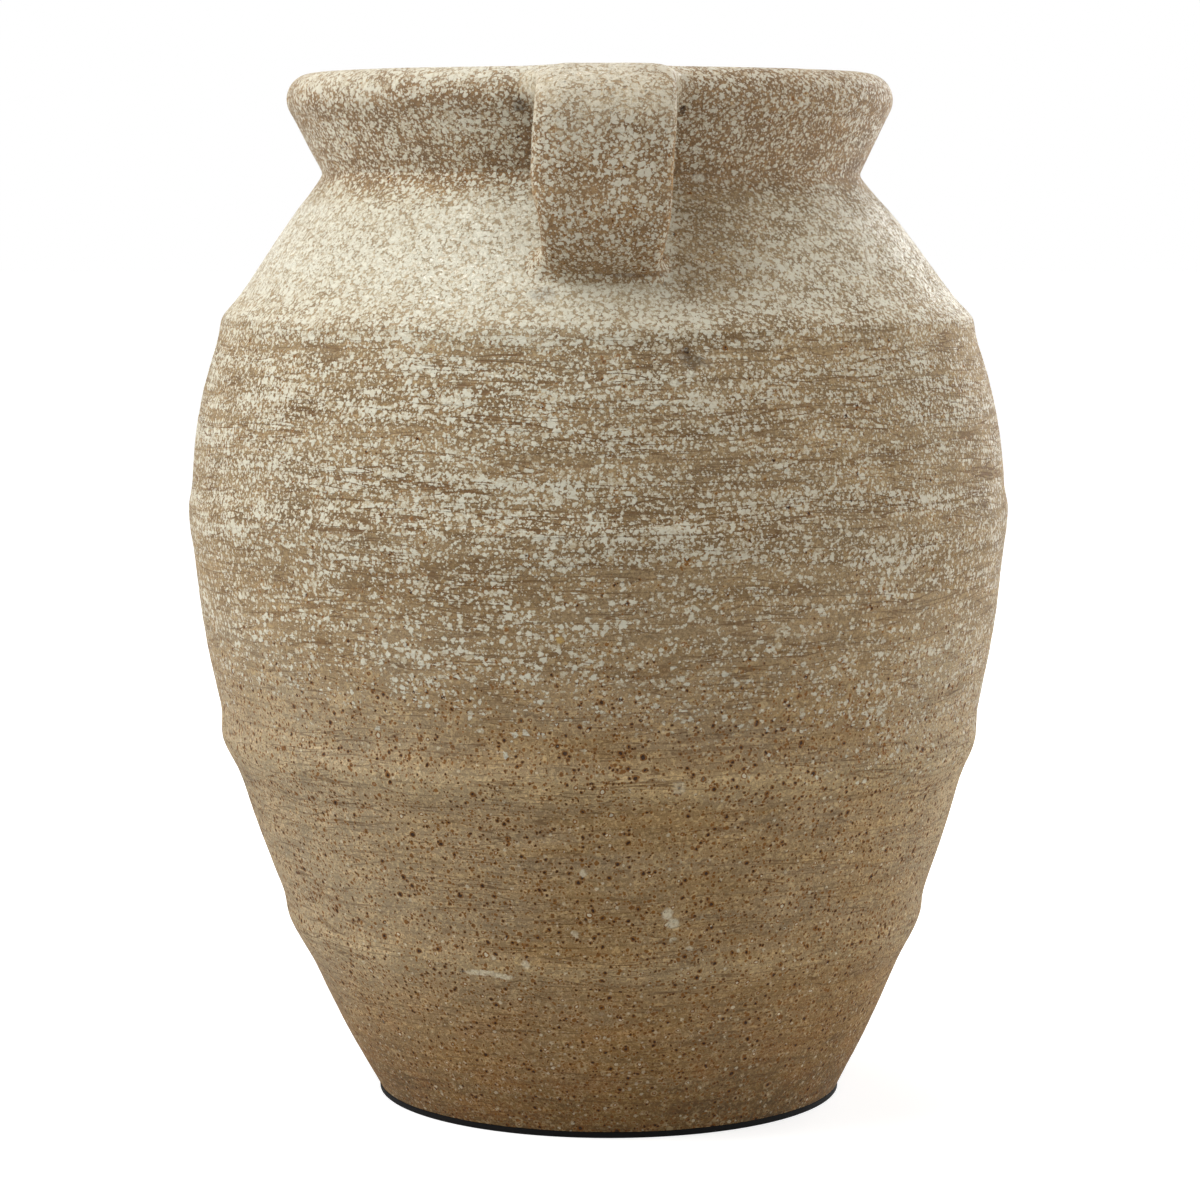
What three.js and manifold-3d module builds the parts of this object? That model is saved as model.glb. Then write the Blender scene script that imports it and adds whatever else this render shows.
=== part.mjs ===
// A large hand-thrown pitcher vase of terracotta, in millimetres, +Z up, standing on the origin.
//
// A pot of this size is thrown and coiled in short sections, which are luted together with slip while
// the clay is leather-hard. Each join shows outside as a low ridge. The strap handle, at -Y, is pulled
// apart and luted on last, and a pouring lip is pulled out of the rim opposite it, at +Y.

import * as THREE from 'three';
import { mergeVertices } from 'three/addons/utils/BufferGeometryUtils.js';
import Module from 'manifold-3d';

const wasm = await Module();
wasm.setup();

// Clearances. The slip that fills them on the real pot is not modelled.
const fitGap = 0.3;

// Pad and floor
const padThickness = 2;
const padInset = 2;
const floorThickness = 9;
const footRingWidth = 6;
const floorCoilSize = 9;
const coilEdge = 1.3;

// Wall
const wallThickness = 8.5;
const lapHeight = 5;
const ridgeSpread = 9;

// Outer radius at the foot, at each ridge, at the neck and at the lip
const footRadius = 73.9;
const lowRidgeRadius = 100.1;
const midRidgeRadius = 119.3;
const bellyRadius = 128.5;
const shoulderRadius = 116.9;
const neckRadius = 84.9;
const lipRadius = 94.4;

// Height of each section
const footHeight = 55.5;
const lowerHeight = 58;
const bellyHeight = 69.5;
const upperBellyHeight = 60;
const shoulderHeight = 44;
const rimHeight = 31;

// How far each section's outside swells from a straight taper
const footSwell = 0.95;
const lowerSwell = 0.9;
const bellySwell = 1.4;
const upperBellySwell = 2.9;
const shoulderSwell = -0.6;

// How far each ridge stands proud, from the lowest up
const lowRidgeProud = 1.1;
const midRidgeProud = 1.3;
const bellyRidgeProud = 0.5;
const shoulderRidgeProud = 1.1;

// The pot was set a little askew: its axis at each join, off the centre of the foot, along X
const lowRidgeDrift = -1.45;
const midRidgeDrift = -2.85;
const bellyDrift = -3.3;
const shoulderDrift = -3.6;
const neckDrift = -5.6;
const lipDrift = -6.1;

// Lip and pouring spout. The cone of the rim meets the round of the lip at lipMeetAngle, in radians.
const lipRoll = 8;
const lipMeetAngle = -0.64;
const spoutReach = 9;
const spoutHalfWidth = 30;
const spoutDip = 1.5;

// Handle strap. Its foot lies on the shoulder, below the neck, and its top is level with the lip.
const strapWidth = 41;
const strapFootWidth = 34;
const strapThickness = 12;
const strapRise = 1;
const strapReach = 24.6;
const strapBendRadius = 14;
const strapDrop = 10;
const strapFootDepth = 24;
const strapBury = 4;
const strapTopOffset = 5;
const strapFootOffset = 2.8;
const strapSideRound = 0.45;
const strapFaceRound = 0.62;

// Clay pressed round each end of the handle
const lutingLength = 7;
const lutingWidth = 4.2;
const lutingEdge = 1.3;
const lutingBelowLip = 3;

// Facets
const wallFacets = 64;
const rimFacets = 84;
const lipFacets = 9;
const strapFacets = 20;
const strapSteps = 22;
const lutingSteps = 4;

// The joins, from the foot up. A ridge stands proud of the fair line of the wall.
const stations = [
  { height: padThickness, radius: footRadius, proud: 0, drift: 0 },
  { rise: footHeight, radius: lowRidgeRadius, proud: lowRidgeProud, drift: lowRidgeDrift },
  { rise: lowerHeight, radius: midRidgeRadius, proud: midRidgeProud, drift: midRidgeDrift },
  { rise: bellyHeight, radius: bellyRadius, proud: bellyRidgeProud, drift: bellyDrift },
  { rise: upperBellyHeight, radius: shoulderRadius, proud: shoulderRidgeProud, drift: shoulderDrift },
  { rise: shoulderHeight, radius: neckRadius, proud: 0, drift: neckDrift },
];
for (let i = 1; i < stations.length; i++) {
  stations[i].height = stations[i - 1].height + stations[i].rise;
}
const swells = [footSwell, lowerSwell, bellySwell, upperBellySwell, shoulderSwell];
const neckHeight = stations.at(-1).height;
const rimTop = neckHeight + rimHeight;
const floorTop = padThickness + floorThickness;

// The rolled lip is round: it starts where the cone of the rim meets it and ends on the inside.
const lipCentre = new THREE.Vector2(lipRadius - lipRoll, rimTop - lipRoll);
function lipPoint(share, grow = 0) {
  const angle = THREE.MathUtils.lerp(lipMeetAngle, Math.PI, share);
  const r = lipRoll + grow;
  return [lipCentre.x + r * Math.cos(angle), lipCentre.y + r * Math.sin(angle)];
}
const lipMeet = lipPoint(0);
const rimSlope = (lipMeet[0] - neckRadius) / (lipMeet[1] - neckHeight);

function sectionSlope(i) {
  const low = stations[i];
  const high = stations[i + 1];
  return high ? (high.radius - high.proud - low.radius + low.proud) / high.rise : rimSlope;
}

// The wall is measured square to its slope, so level with the ground it is thicker on the shoulder.
stations.forEach((station, i) => {
  const slope = (sectionSlope(Math.max(i - 1, 0)) + sectionSlope(i)) / 2;
  station.inner = station.radius - station.proud - wallThickness * Math.hypot(1, slope);
});

// Outside radius of the wall at a height between the foot and the neck
function outerRadius(z) {
  const top = stations.findIndex((s, i) => i > 0 && (z <= s.height || i === stations.length - 1));
  const low = stations[top - 1];
  const high = stations[top];
  const share = (z - low.height) / high.rise;
  const fair = THREE.MathUtils.lerp(low.radius - low.proud, high.radius - high.proud, share);
  const ridge = (s) => s.proud * Math.max(0, 1 - Math.abs(z - s.height) / ridgeSpread) ** 2;
  return fair + swells[top - 1] * 4 * share * (1 - share) + ridge(low) + ridge(high);
}

// Inside radius of the wall at a height between the foot and the rim
function innerRadius(z) {
  if (z >= neckHeight) {
    const share = (z - neckHeight) / (lipCentre.y - neckHeight);
    return THREE.MathUtils.lerp(stations.at(-1).inner, lipCentre.x - lipRoll, share);
  }
  const top = stations.findIndex((s, i) => i > 0 && z <= s.height);
  const low = stations[top - 1];
  const high = stations[top];
  const share = (z - low.height) / high.rise;
  const swell = swells[top - 1] * 4 * share * (1 - share);
  return THREE.MathUtils.lerp(low.inner, high.inner, share) + swell;
}

// Moves every point along X with the pot's crooked axis
const axis = [...stations, { height: rimTop, drift: lipDrift }];
function drift(z) {
  const top = Math.max(1, axis.findIndex((s) => z <= s.height));
  if (z >= rimTop) return lipDrift;
  const low = axis[top - 1];
  const high = axis[top];
  const share = THREE.MathUtils.clamp((z - low.height) / (high.height - low.height), 0, 1);
  return THREE.MathUtils.lerp(low.drift, high.drift, share);
}

function followAxis(geometry) {
  const places = geometry.attributes.position;
  for (let i = 0; i < places.count; i++) {
    places.setX(i, places.getX(i) + drift(places.getZ(i)));
  }
  return geometry;
}

// A closed profile of [radius, height] points, up its outside and down its inside, turned round Z
function turned(profile, facets = wallFacets) {
  const points = profile.map(([r, z]) => new THREE.Vector2(r, z));
  if (points[0].x > 0) points.push(points[0].clone());
  return new THREE.LatheGeometry(points, facets).rotateX(Math.PI / 2);
}

// Outside heights of a wall section: close together at its ridges, wide apart between them
function outerHeights(low, high) {
  const near = ridgeSpread * 0.3;
  const far = ridgeSpread * 0.85;
  return [low, low + near, low + far, (low + high) / 2, high - far, high - near, high];
}

function outerPoints(low, high) {
  return outerHeights(low, high).map((z) => [outerRadius(z), z]);
}

function innerPoints(high, low) {
  const heights = [high, (2 * high + low) / 3, (high + 2 * low) / 3, low];
  return heights.map((z) => [innerRadius(z), z]);
}

// The radius of the step in a lapped join: the middle of the wall, half way up the lap
function stepRadius(station) {
  const z = station.height + lapHeight / 2;
  const outside = station.height < neckHeight ? outerRadius(z) : neckRadius + rimSlope * lapHeight / 2;
  return (outside + innerRadius(z)) / 2;
}

// The top edge of a section: an inner upstand that the next section sits over
function upstand(station) {
  const step = stepRadius(station);
  return [[step, station.height], [step, station.height + lapHeight]];
}

// The bottom edge of a section, from its inside out: a rebate that clears the upstand, then the land
function rebate(station) {
  const step = stepRadius(station) + fitGap;
  const top = station.height + lapHeight + fitGap;
  return [[step, top], [step, station.height]];
}

function wallSection(i) {
  const low = stations[i];
  const high = stations[i + 1];
  const insideTop = high.height + lapHeight;
  if (i > 0) {
    const insideFoot = low.height + lapHeight + fitGap;
    return turned([
      ...outerPoints(low.height, high.height),
      ...upstand(high),
      ...innerPoints(insideTop, insideFoot),
      ...rebate(low),
    ]);
  }
  const slabEdge = footRadius - footRingWidth + fitGap;
  return turned([
    ...outerPoints(low.height, high.height),
    ...upstand(high),
    ...innerPoints(insideTop, floorTop),
    [slabEdge, floorTop],
    [slabEdge, padThickness],
  ]);
}

function lipPoints(grow = 0) {
  return Array.from({ length: lipFacets + 1 }, (_, i) => lipPoint(i / lipFacets, grow));
}

// A pouring lip, pulled out and a little down, at +Y
function pullSpout(geometry) {
  const places = geometry.attributes.position;
  const point = new THREE.Vector3();
  for (let i = 0; i < places.count; i++) {
    point.fromBufferAttribute(places, i);
    const radius = Math.hypot(point.x, point.y);
    const along = radius * Math.atan2(point.x, point.y) / spoutHalfWidth;
    const lift = (point.z - neckHeight - lapHeight) / (rimHeight - lapHeight);
    if (Math.abs(along) >= 1 || lift <= 0) continue;
    const pull = (1 - along ** 2) ** 2 * lift ** 1.5;
    const scale = 1 + spoutReach * pull / radius;
    places.setXYZ(i, point.x * scale, point.y * scale, point.z - spoutDip * pull);
  }
  return geometry;
}

function rimSection() {
  const neck = stations.at(-1);
  const insideFoot = neckHeight + lapHeight + fitGap;
  const profile = [
    [neckRadius, neckHeight],
    ...lipPoints(),
    [innerRadius(insideFoot), insideFoot],
    ...rebate(neck),
  ];
  return pullSpout(turned(profile, rimFacets));
}

// The pot's outside from the belly up as one solid, grown by the fit, that trims what is luted on to it.
// Its slopes are no flatter than half a right angle, where a level gap is the fit times the root of two.
function trimmingBody() {
  const shoulder = stations.at(-2).height;
  const foot = (stations.at(-3).height + shoulder) / 2;
  const heights = [foot, ...outerHeights(shoulder, neckHeight)];
  const outside = heights.map((z) => [outerRadius(z) + fitGap * Math.SQRT2, z]);
  const lip = lipPoints(fitGap).filter(([r]) => r > lipCentre.x);
  return turned([[0, foot], ...outside, ...lip, [lipCentre.x, rimTop + fitGap], [0, rimTop + fitGap]]);
}

function toSolid(geometry) {
  const bare = geometry.clone();
  bare.deleteAttribute('normal');
  bare.deleteAttribute('uv');
  const merged = mergeVertices(bare, 1e-3);
  const mesh = new wasm.Mesh({
    numProp: 3,
    vertProperties: merged.attributes.position.array,
    triVerts: new Uint32Array(merged.index.array),
  });
  return new wasm.Manifold(mesh);
}

function fromSolid(solid) {
  const { vertProperties, triVerts } = solid.getMesh();
  const geometry = new THREE.BufferGeometry();
  geometry.setAttribute('position', new THREE.BufferAttribute(vertProperties, 3));
  geometry.setIndex(new THREE.BufferAttribute(triVerts, 1));
  return geometry;
}

// The strap's centre line, in the plane of X = distance out from the axis and Y = height
const strapOut = lipRadius + strapReach - strapThickness / 2;
const strapTop = rimTop + strapRise - strapThickness / 2;
const strapFootZ = neckHeight - strapFootDepth;
function shoulderNormal(z) {
  const slope = (outerRadius(z + 1) - outerRadius(z - 1)) / 2;
  return new THREE.Vector2(1, -slope).normalize();
}
function strapLine() {
  const bendX = strapOut - strapBendRadius;
  const bendY = strapTop - strapBendRadius;
  const start = new THREE.Vector2(lipRadius - strapBury, strapTop);
  const straightEnd = new THREE.Vector2(strapOut, bendY - strapDrop);
  const normal = shoulderNormal(strapFootZ);
  const seat = new THREE.Vector2(outerRadius(strapFootZ), strapFootZ);
  const end = seat.clone().addScaledVector(normal, -strapBury);
  const sweep = straightEnd.distanceTo(seat) / 2;
  const line = new THREE.CurvePath();
  line.add(new THREE.LineCurve(start, new THREE.Vector2(bendX, strapTop)));
  line.add(new THREE.EllipseCurve(bendX, bendY, strapBendRadius, strapBendRadius, Math.PI / 2, 0, true));
  line.add(new THREE.LineCurve(new THREE.Vector2(strapOut, bendY), straightEnd));
  const above = new THREE.Vector2(strapOut, straightEnd.y - sweep);
  line.add(new THREE.CubicBezierCurve(straightEnd, above, seat.clone().addScaledVector(normal, sweep), end));
  return line;
}
const centreLine = strapLine();
const lineLength = centreLine.getLength();

// A rounded-rectangle section of the strap, square to its centre line, at a distance along it
function strapRing(distance, width, thickness) {
  const share = distance / lineLength;
  const place = centreLine.getPointAt(share);
  const along = centreLine.getTangentAt(share);
  const offset = THREE.MathUtils.lerp(strapTopOffset, strapFootOffset, share);
  const rounded = (value, power) => Math.sign(value) * Math.abs(value) ** power;
  const ring = [];
  for (let i = 0; i < strapFacets; i++) {
    const angle = 2 * Math.PI * (i + 0.5) / strapFacets;
    const across = rounded(Math.cos(angle), strapSideRound) * width / 2;
    const deep = rounded(Math.sin(angle), strapFaceRound) * thickness / 2;
    const out = place.x - along.y * deep;
    const up = place.y + along.x * deep;
    ring.push(new THREE.Vector3(offset + across, -out, up));
  }
  return ring;
}

// Joins rings of the same number of points into one closed skin, with a fan over each end
function loft(rings) {
  const count = rings[0].length;
  const points = rings.flat();
  const faces = [];
  for (let r = 0; r + 1 < rings.length; r++) {
    for (let i = 0; i < count; i++) {
      const a = r * count + i;
      const b = r * count + (i + 1) % count;
      faces.push(a, b, b + count, a, b + count, a + count);
    }
  }
  for (const [ring, turn] of [[0, 1], [rings.length - 1, 0]]) {
    const middle = points.length;
    points.push(rings[ring].reduce((sum, p) => sum.add(p), new THREE.Vector3()).divideScalar(count));
    for (let i = 0; i < count; i++) {
      const a = ring * count + i;
      const b = ring * count + (i + 1) % count;
      faces.push(middle, turn ? b : a, turn ? a : b);
    }
  }
  const geometry = new THREE.BufferGeometry().setFromPoints(points);
  geometry.setIndex(faces);
  return geometry;
}

function strapWidthAt(distance) {
  const share = THREE.MathUtils.smoothstep(distance / lineLength, 0.5, 1);
  return THREE.MathUtils.lerp(strapWidth, strapFootWidth, share);
}

// The strap between its two buried ends, or the same grown by the fit
function strapSolid(grow = 0) {
  const rings = [];
  for (let i = 0; i <= strapSteps; i++) {
    const distance = lineLength * i / strapSteps;
    rings.push(strapRing(distance, strapWidthAt(distance) + 2 * grow, strapThickness + 2 * grow));
  }
  return toSolid(loft(rings));
}

// Clay pressed into the corner round one end of the strap, thick at the pot and thin where it dies away
function lutingSolid(atFoot) {
  const length = strapBury + lutingLength;
  const rings = [];
  for (let i = 0; i <= lutingSteps; i++) {
    const away = i / lutingSteps;
    const distance = atFoot ? lineLength - length * away : length * away;
    const extra = lutingEdge + (lutingWidth - lutingEdge) * (1 - away) ** 2;
    rings.push(strapRing(distance, strapWidthAt(distance) + 2 * extra, strapThickness + 2 * extra));
  }
  return toSolid(loft(atFoot ? rings.reverse() : rings));
}

const potBody = toSolid(trimmingBody());
const handle = strapSolid().subtract(potBody);
const grownStrap = strapSolid(fitGap);
const footLuting = lutingSolid(true).subtract(potBody).subtract(grownStrap);
const boxSide = 4 * strapWidth;
const aboveLip = toSolid(new THREE.BoxGeometry(boxSide, 2 * boxSide, boxSide)
  .translate(0, -lipRadius, rimTop - lutingBelowLip + boxSide / 2));
const topLuting = lutingSolid(false).subtract(potBody).subtract(grownStrap).subtract(aboveLip);

function floorSlab() {
  const edge = footRadius - footRingWidth;
  return turned([[0, padThickness], [edge, padThickness], [edge, floorTop], [0, floorTop]]);
}

// A coil worked into the corner between the floor and the wall
function floorCoil() {
  const top = floorTop + floorCoilSize;
  const outside = (z) => innerRadius(z) - fitGap * Math.SQRT2;
  const inside = outside(floorTop) - floorCoilSize;
  const face = new THREE.QuadraticBezierCurve(
    new THREE.Vector2(outside(top) - coilEdge, top),
    new THREE.Vector2(outside(floorTop) - coilEdge, floorTop + 2 * coilEdge),
    new THREE.Vector2(inside, floorTop + coilEdge));
  return turned([
    [inside, floorTop],
    [outside(floorTop), floorTop],
    [outside(top), top],
    ...face.getPoints(4).map((p) => [p.x, p.y]),
  ]);
}

function basePad() {
  const edge = footRadius - padInset;
  return turned([[0, 0], [edge, 0], [edge, padThickness], [0, padThickness]]);
}

const limeSpatteredClay = { color: 0xb9ad95, roughness: 0.8, metalness: 0 };
const spatteredClay = { color: 0xa8987a, roughness: 0.82, metalness: 0 };
const bareClay = { color: 0x8c7556, roughness: 0.85, metalness: 0 };
const insideClay = { color: 0x8f7b60, roughness: 0.9, metalness: 0 };
const padFoam = { color: 0x151414, roughness: 0.95, metalness: 0 };

function piece(name, geometry, finish) {
  const mesh = new THREE.Mesh(followAxis(geometry), new THREE.MeshStandardMaterial(finish));
  mesh.name = name;
  return mesh;
}

const pot = new THREE.Group();
pot.add(
  piece('floor_slab', floorSlab(), insideClay),
  piece('floor_coil', floorCoil(), insideClay),
  piece('foot_section', wallSection(0), bareClay),
  piece('lower_section', wallSection(1), bareClay),
  piece('belly_section', wallSection(2), spatteredClay),
  piece('upper_belly_section', wallSection(3), spatteredClay),
  piece('shoulder_section', wallSection(4), limeSpatteredClay),
  piece('rim_section', rimSection(), limeSpatteredClay),
);

const handleGroup = new THREE.Group();
handleGroup.add(
  piece('handle_strap', fromSolid(handle), limeSpatteredClay),
  piece('handle_top_luting', fromSolid(topLuting), limeSpatteredClay),
  piece('handle_foot_luting', fromSolid(footLuting), limeSpatteredClay),
);

const vase = new THREE.Group();
vase.add(piece('base_pad', basePad(), padFoam), pot, handleGroup);

export default vase;
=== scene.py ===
# %% [markdown]
# # A pitcher vase, thrown in sections
# This notebook dresses a clay pot in Blender. The pot is an assembly: a pad, a floor, six thrown wall
# sections that lap over each other, a strap handle, and clay pressed round both ends of the strap.
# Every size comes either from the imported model, which is called the frame here, or from a named
# value in millimetres.

import math

import bmesh
import bpy
import mathutils.noise
import numpy as np
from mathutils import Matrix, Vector
from mathutils.bvhtree import BVHTree


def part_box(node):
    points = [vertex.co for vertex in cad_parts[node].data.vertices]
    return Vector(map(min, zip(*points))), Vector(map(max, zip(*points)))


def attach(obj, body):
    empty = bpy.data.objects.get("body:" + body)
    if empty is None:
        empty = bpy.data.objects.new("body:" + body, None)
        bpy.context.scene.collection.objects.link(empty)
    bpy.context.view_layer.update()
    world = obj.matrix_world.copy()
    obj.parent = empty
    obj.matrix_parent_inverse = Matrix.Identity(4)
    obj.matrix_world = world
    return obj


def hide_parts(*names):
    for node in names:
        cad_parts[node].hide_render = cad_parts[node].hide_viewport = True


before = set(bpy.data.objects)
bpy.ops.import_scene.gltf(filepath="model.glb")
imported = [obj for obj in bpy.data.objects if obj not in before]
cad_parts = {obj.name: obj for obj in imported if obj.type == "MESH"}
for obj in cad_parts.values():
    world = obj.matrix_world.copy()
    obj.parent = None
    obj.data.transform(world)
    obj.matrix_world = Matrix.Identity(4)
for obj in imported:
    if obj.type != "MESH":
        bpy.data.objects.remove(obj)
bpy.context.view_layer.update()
MM = 0.001

# %% [markdown]
# ## Look through the camera first
# The picture was taken from just above the rim with a long lens, about 1.2 m away, so the ridges
# look almost level and the far side of the lip is hidden. Setting the camera first lets every later
# step be judged from the right place.

# %% Camera
camera_place = (-2.8 * MM, -1194.1 * MM, 284.3 * MM)
camera_tilt = 6.165
long_lens = 114
full_frame_width = 36
camera_data = bpy.data.cameras.new("camera")
camera_data.lens = long_lens
camera_data.sensor_width = full_frame_width
camera = bpy.data.objects.new("camera", camera_data)
camera.location = camera_place
camera.rotation_euler = (math.radians(90 - camera_tilt), 0, 0)
bpy.context.scene.collection.objects.link(camera)
bpy.context.scene.camera = camera
print("camera with a", long_lens, "mm lens")

# %% [markdown]
# ## Write node trees like sums
# Geometry and materials below are both node trees. Adding and linking nodes one by one hides the
# idea, so a wire here can be used like a number: `(a + 2) * b` adds the Math nodes and links them.


# %% Wires
class Wire:
    """A value on its way through a node tree."""

    def __init__(self, tree, socket):
        self.tree = tree
        self.socket = socket

    def math(self, operation, *others):
        node = self.tree.nodes.new("ShaderNodeMath")
        node.operation = operation
        for slot, value in zip(node.inputs, (self, *others)):
            feed(self.tree, slot, value)
        return Wire(self.tree, node.outputs[0])

    def __add__(self, other):
        return self.math("ADD", other)

    def __sub__(self, other):
        return self.math("SUBTRACT", other)

    def __rsub__(self, other):
        return self * -1 + other

    def __mul__(self, other):
        return self.math("MULTIPLY", other)

    def __truediv__(self, other):
        return self.math("DIVIDE", other)

    def __pow__(self, other):
        return self.math("POWER", other)

    def at_least(self, other):
        return self.math("MAXIMUM", other)

    def at_most(self, other):
        return self.math("MINIMUM", other)

    __radd__ = __add__
    __rmul__ = __mul__


def feed(tree, slot, value):
    """Links a wire to an input, or writes a plain value there."""
    if isinstance(value, Wire):
        tree.links.new(value.socket, slot)
    else:
        slot.default_value = value


print("wires ready")

# %% [markdown]
# Any other node is placed by its kind. The smooth step between two values comes up again and again,
# so it has names of its own: a rise, and a band between a rise and a fall.


# %% Steps of a tree
def place(tree, kind, inputs=(), output=0, **settings):
    """Adds a node, sets it up, feeds its inputs and returns one of its outputs as a wire."""
    node = tree.nodes.new(kind)
    for name, value in settings.items():
        setattr(node, name, value)
    for name, value in dict(inputs).items():
        feed(tree, node.inputs[name], value)
    return Wire(tree, node.outputs[output])


def ramp(value, low, high):
    """0 below low and 1 above high, with a smooth rise between."""
    inputs = {"Value": value, "From Min": low, "From Max": high}
    return place(value.tree, "ShaderNodeMapRange", inputs, interpolation_type="SMOOTHSTEP")


def rise_over(place_in_pot, span):
    """The same rise for a place in metres, over a span from one millimetre mark to another."""
    low, high = span
    return ramp(place_in_pot, low * MM, high * MM)


def band(place_in_pot, rise, fall):
    """1 between two smooth slopes, each given by its span in millimetres."""
    return rise_over(place_in_pot, rise) * (1 - rise_over(place_in_pot, fall))


def vector_math(operation, first, *others):
    """A step on whole vectors, such as adding two or measuring one."""
    node = first.tree.nodes.new("ShaderNodeVectorMath")
    node.operation = operation
    for slot, value in zip(node.inputs, (first, *others)):
        feed(first.tree, slot, value)
    return Wire(first.tree, next(out for out in node.outputs if out.enabled))


def split(vector):
    """The three numbers of a vector, each as a wire."""
    node = vector.tree.nodes.new("ShaderNodeSeparateXYZ")
    feed(vector.tree, node.inputs[0], vector)
    return [Wire(vector.tree, out) for out in node.outputs]


def join(tree, x, y, z):
    """A vector made of three wires or numbers."""
    return place(tree, "ShaderNodeCombineXYZ", {"X": x, "Y": y, "Z": z})


print("steps ready")

# %% [markdown]
# Noise is asked for by the size of its lumps in millimetres, because that is what can be measured on
# a photograph. Its seed moves the place where it is read, so that two noises never look alike.

# %% Noise and groups
seed_steps = (7.3, 11.9, 5.7)


def noise(vector, size, detail=1.0, output="Fac", roughness=0.5, seed=0.0):
    """Soft noise whose lumps are about as wide, deep and tall as the size in millimetres."""
    wide, deep, tall = (size,) * 3 if isinstance(size, (int, float)) else size
    scale = (1 / (wide * MM), 1 / (deep * MM), 1 / (tall * MM))
    scaled = vector_math("MULTIPLY_ADD", vector, scale, tuple(seed * step for step in seed_steps))
    inputs = {"Vector": scaled, "Scale": 1.0, "Detail": detail, "Roughness": roughness}
    return place(vector.tree, "ShaderNodeTexNoise", inputs, output)


def centred(value):
    """Noise runs from 0 to 1 about its middle. This makes it swing to both sides of 0."""
    return value - 0.5


def give(end, outputs):
    """Links wires to the outputs of a group."""
    for label, wire in outputs.items():
        wire.tree.links.new(wire.socket, end.inputs[label])


def new_tree(name, kind, inputs, outputs):
    """A node group with named inputs and outputs. Gives the tree, its input wires and its last node."""
    tree = bpy.data.node_groups.new(name, kind)
    for side, sockets in (("INPUT", inputs), ("OUTPUT", outputs)):
        for label, value in sockets.items():
            socket = tree.interface.new_socket(label, in_out=side, socket_type="NodeSocket" + value[0])
            if len(value) > 1:
                socket.default_value = value[1]
    start = tree.nodes.new("NodeGroupInput")
    end = tree.nodes.new("NodeGroupOutput")
    return tree, {name: Wire(tree, start.outputs[name]) for name in inputs}, end


print("noise and groups ready")

# %% [markdown]
# ## Measure the joins
# The pot was thrown in six sections. Where two of them meet, the outer wall has a radius, and the
# pot leans a little, so the axis has moved sideways there. Both are read from the points of the
# frame's own pieces at that height, so that the dressed pot and the frame can't drift apart.

# %% Joins of the wall
section_names = (
    "foot_section",
    "lower_section",
    "belly_section",
    "upper_belly_section",
    "shoulder_section",
    "rim_section",
)
same_height = 0.02


def points_of(node):
    """All points of a piece of the frame, in millimetres."""
    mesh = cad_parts[node].data
    points = np.zeros(len(mesh.vertices) * 3)
    mesh.vertices.foreach_get("co", points)
    return points.reshape(-1, 3) / MM


def ring_at(node, height):
    """Radius and sideways drift of a piece at a height, from its points there."""
    points = points_of(node)
    level = points[np.abs(points[:, 2] - height) < same_height]
    return -level[:, 1].min(), (level[:, 0].max() + level[:, 0].min()) / 2


join_heights = [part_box(name)[0].z / MM for name in section_names]
rim_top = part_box("rim_section")[1].z / MM
join_radii, join_drifts = zip(*(ring_at(n, z) for n, z in zip(section_names, join_heights)))
lip_radius = -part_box("rim_section")[0].y / MM
lip_drift = ring_at("rim_section", rim_top)[1]
neck_height = join_heights[-1]
for height, radius, drift in zip(join_heights, join_radii, join_drifts):
    print(f"join at {height:.1f} mm: radius {radius:.1f}, drift {drift:.2f}")

# %% [markdown]
# ## Draw the outline
# A turned wall needs one line: up the outside, over the rolled lip and down the inside. Between two
# joins the wall is a straight taper with a slight swell, and at each join a ridge of slip stands
# proud. A potter's rib leaves no sharp corner, so the finished line is smoothed along its length.

# %% Sizes of the outline
# In millimetres. One value for each wall from the foot to the neck: how far its middle swells out
swells = (1.4, 1.45, 2.3, 3.3, -0.05)
frame_swells = (0.95, 0.9, 1.4, 2.9, -0.6)

# One value for each join, and 0 at the foot and the neck, where there is no ridge
frame_proud = (0, 1.1, 1.3, 0.5, 1.1, 0)
ridge_proud = (0, 1.85, 2.4, 1.4, 1.15, 0)
ridge_drop = (0, 0.6, 1.75, -0.95, 0, 0)
wall_inset = (0.9, 0.85, 0.95, 0.95, 0, -0.1)
ridge_above = (5, 5.75, 6.5, 5, 4.5, 5)
ridge_below = (5, 9.5, 7.5, 11, 4.5, 5)

neck_crease = 1.5
neck_crease_drop = 2
neck_crease_reach = 9
lean_below_neck = 13
lean_back = 0.45
wall_thickness = 8.5
lap_height = 5
fit_gap = 0.3

# The lip is rolled round, and starts at this angle in radians
lip_roll = 8
lip_meet_angle = -0.64
lip_points = 60
wall_step = 0.5
outline_step = 0.25
rib_softness = 0.8
lip_centre = (lip_radius - lip_roll, rim_top - lip_roll)
print("lip rolled round a middle at", lip_centre)

# %% [markdown]
# These functions say how wide the pot is at a height and how far its axis has moved. The swell of a
# wall is a parabola that is 0 at both joins, and a ridge is a bell curve with a longer tail below.


# %% Shape of the outside
def section_of(height):
    """Number of the wall that reaches from the join below a height to the join above."""
    return int(np.clip(np.searchsorted(join_heights, height) - 1, 0, len(swells) - 1))


def outer_radius(height):
    """Outside of the wall between the foot and the neck, before any smoothing."""
    low = section_of(height)
    fair = np.array(join_radii) - frame_proud - wall_inset
    share = (height - join_heights[low]) / (join_heights[low + 1] - join_heights[low])
    radius = fair[low] + (fair[low + 1] - fair[low]) * share + swells[low] * 4 * share * (1 - share)
    from_crease = (height - neck_height + neck_crease_drop) / neck_crease_reach
    return radius + ridge_at(height) - neck_crease * math.exp(-from_crease ** 2)


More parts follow.
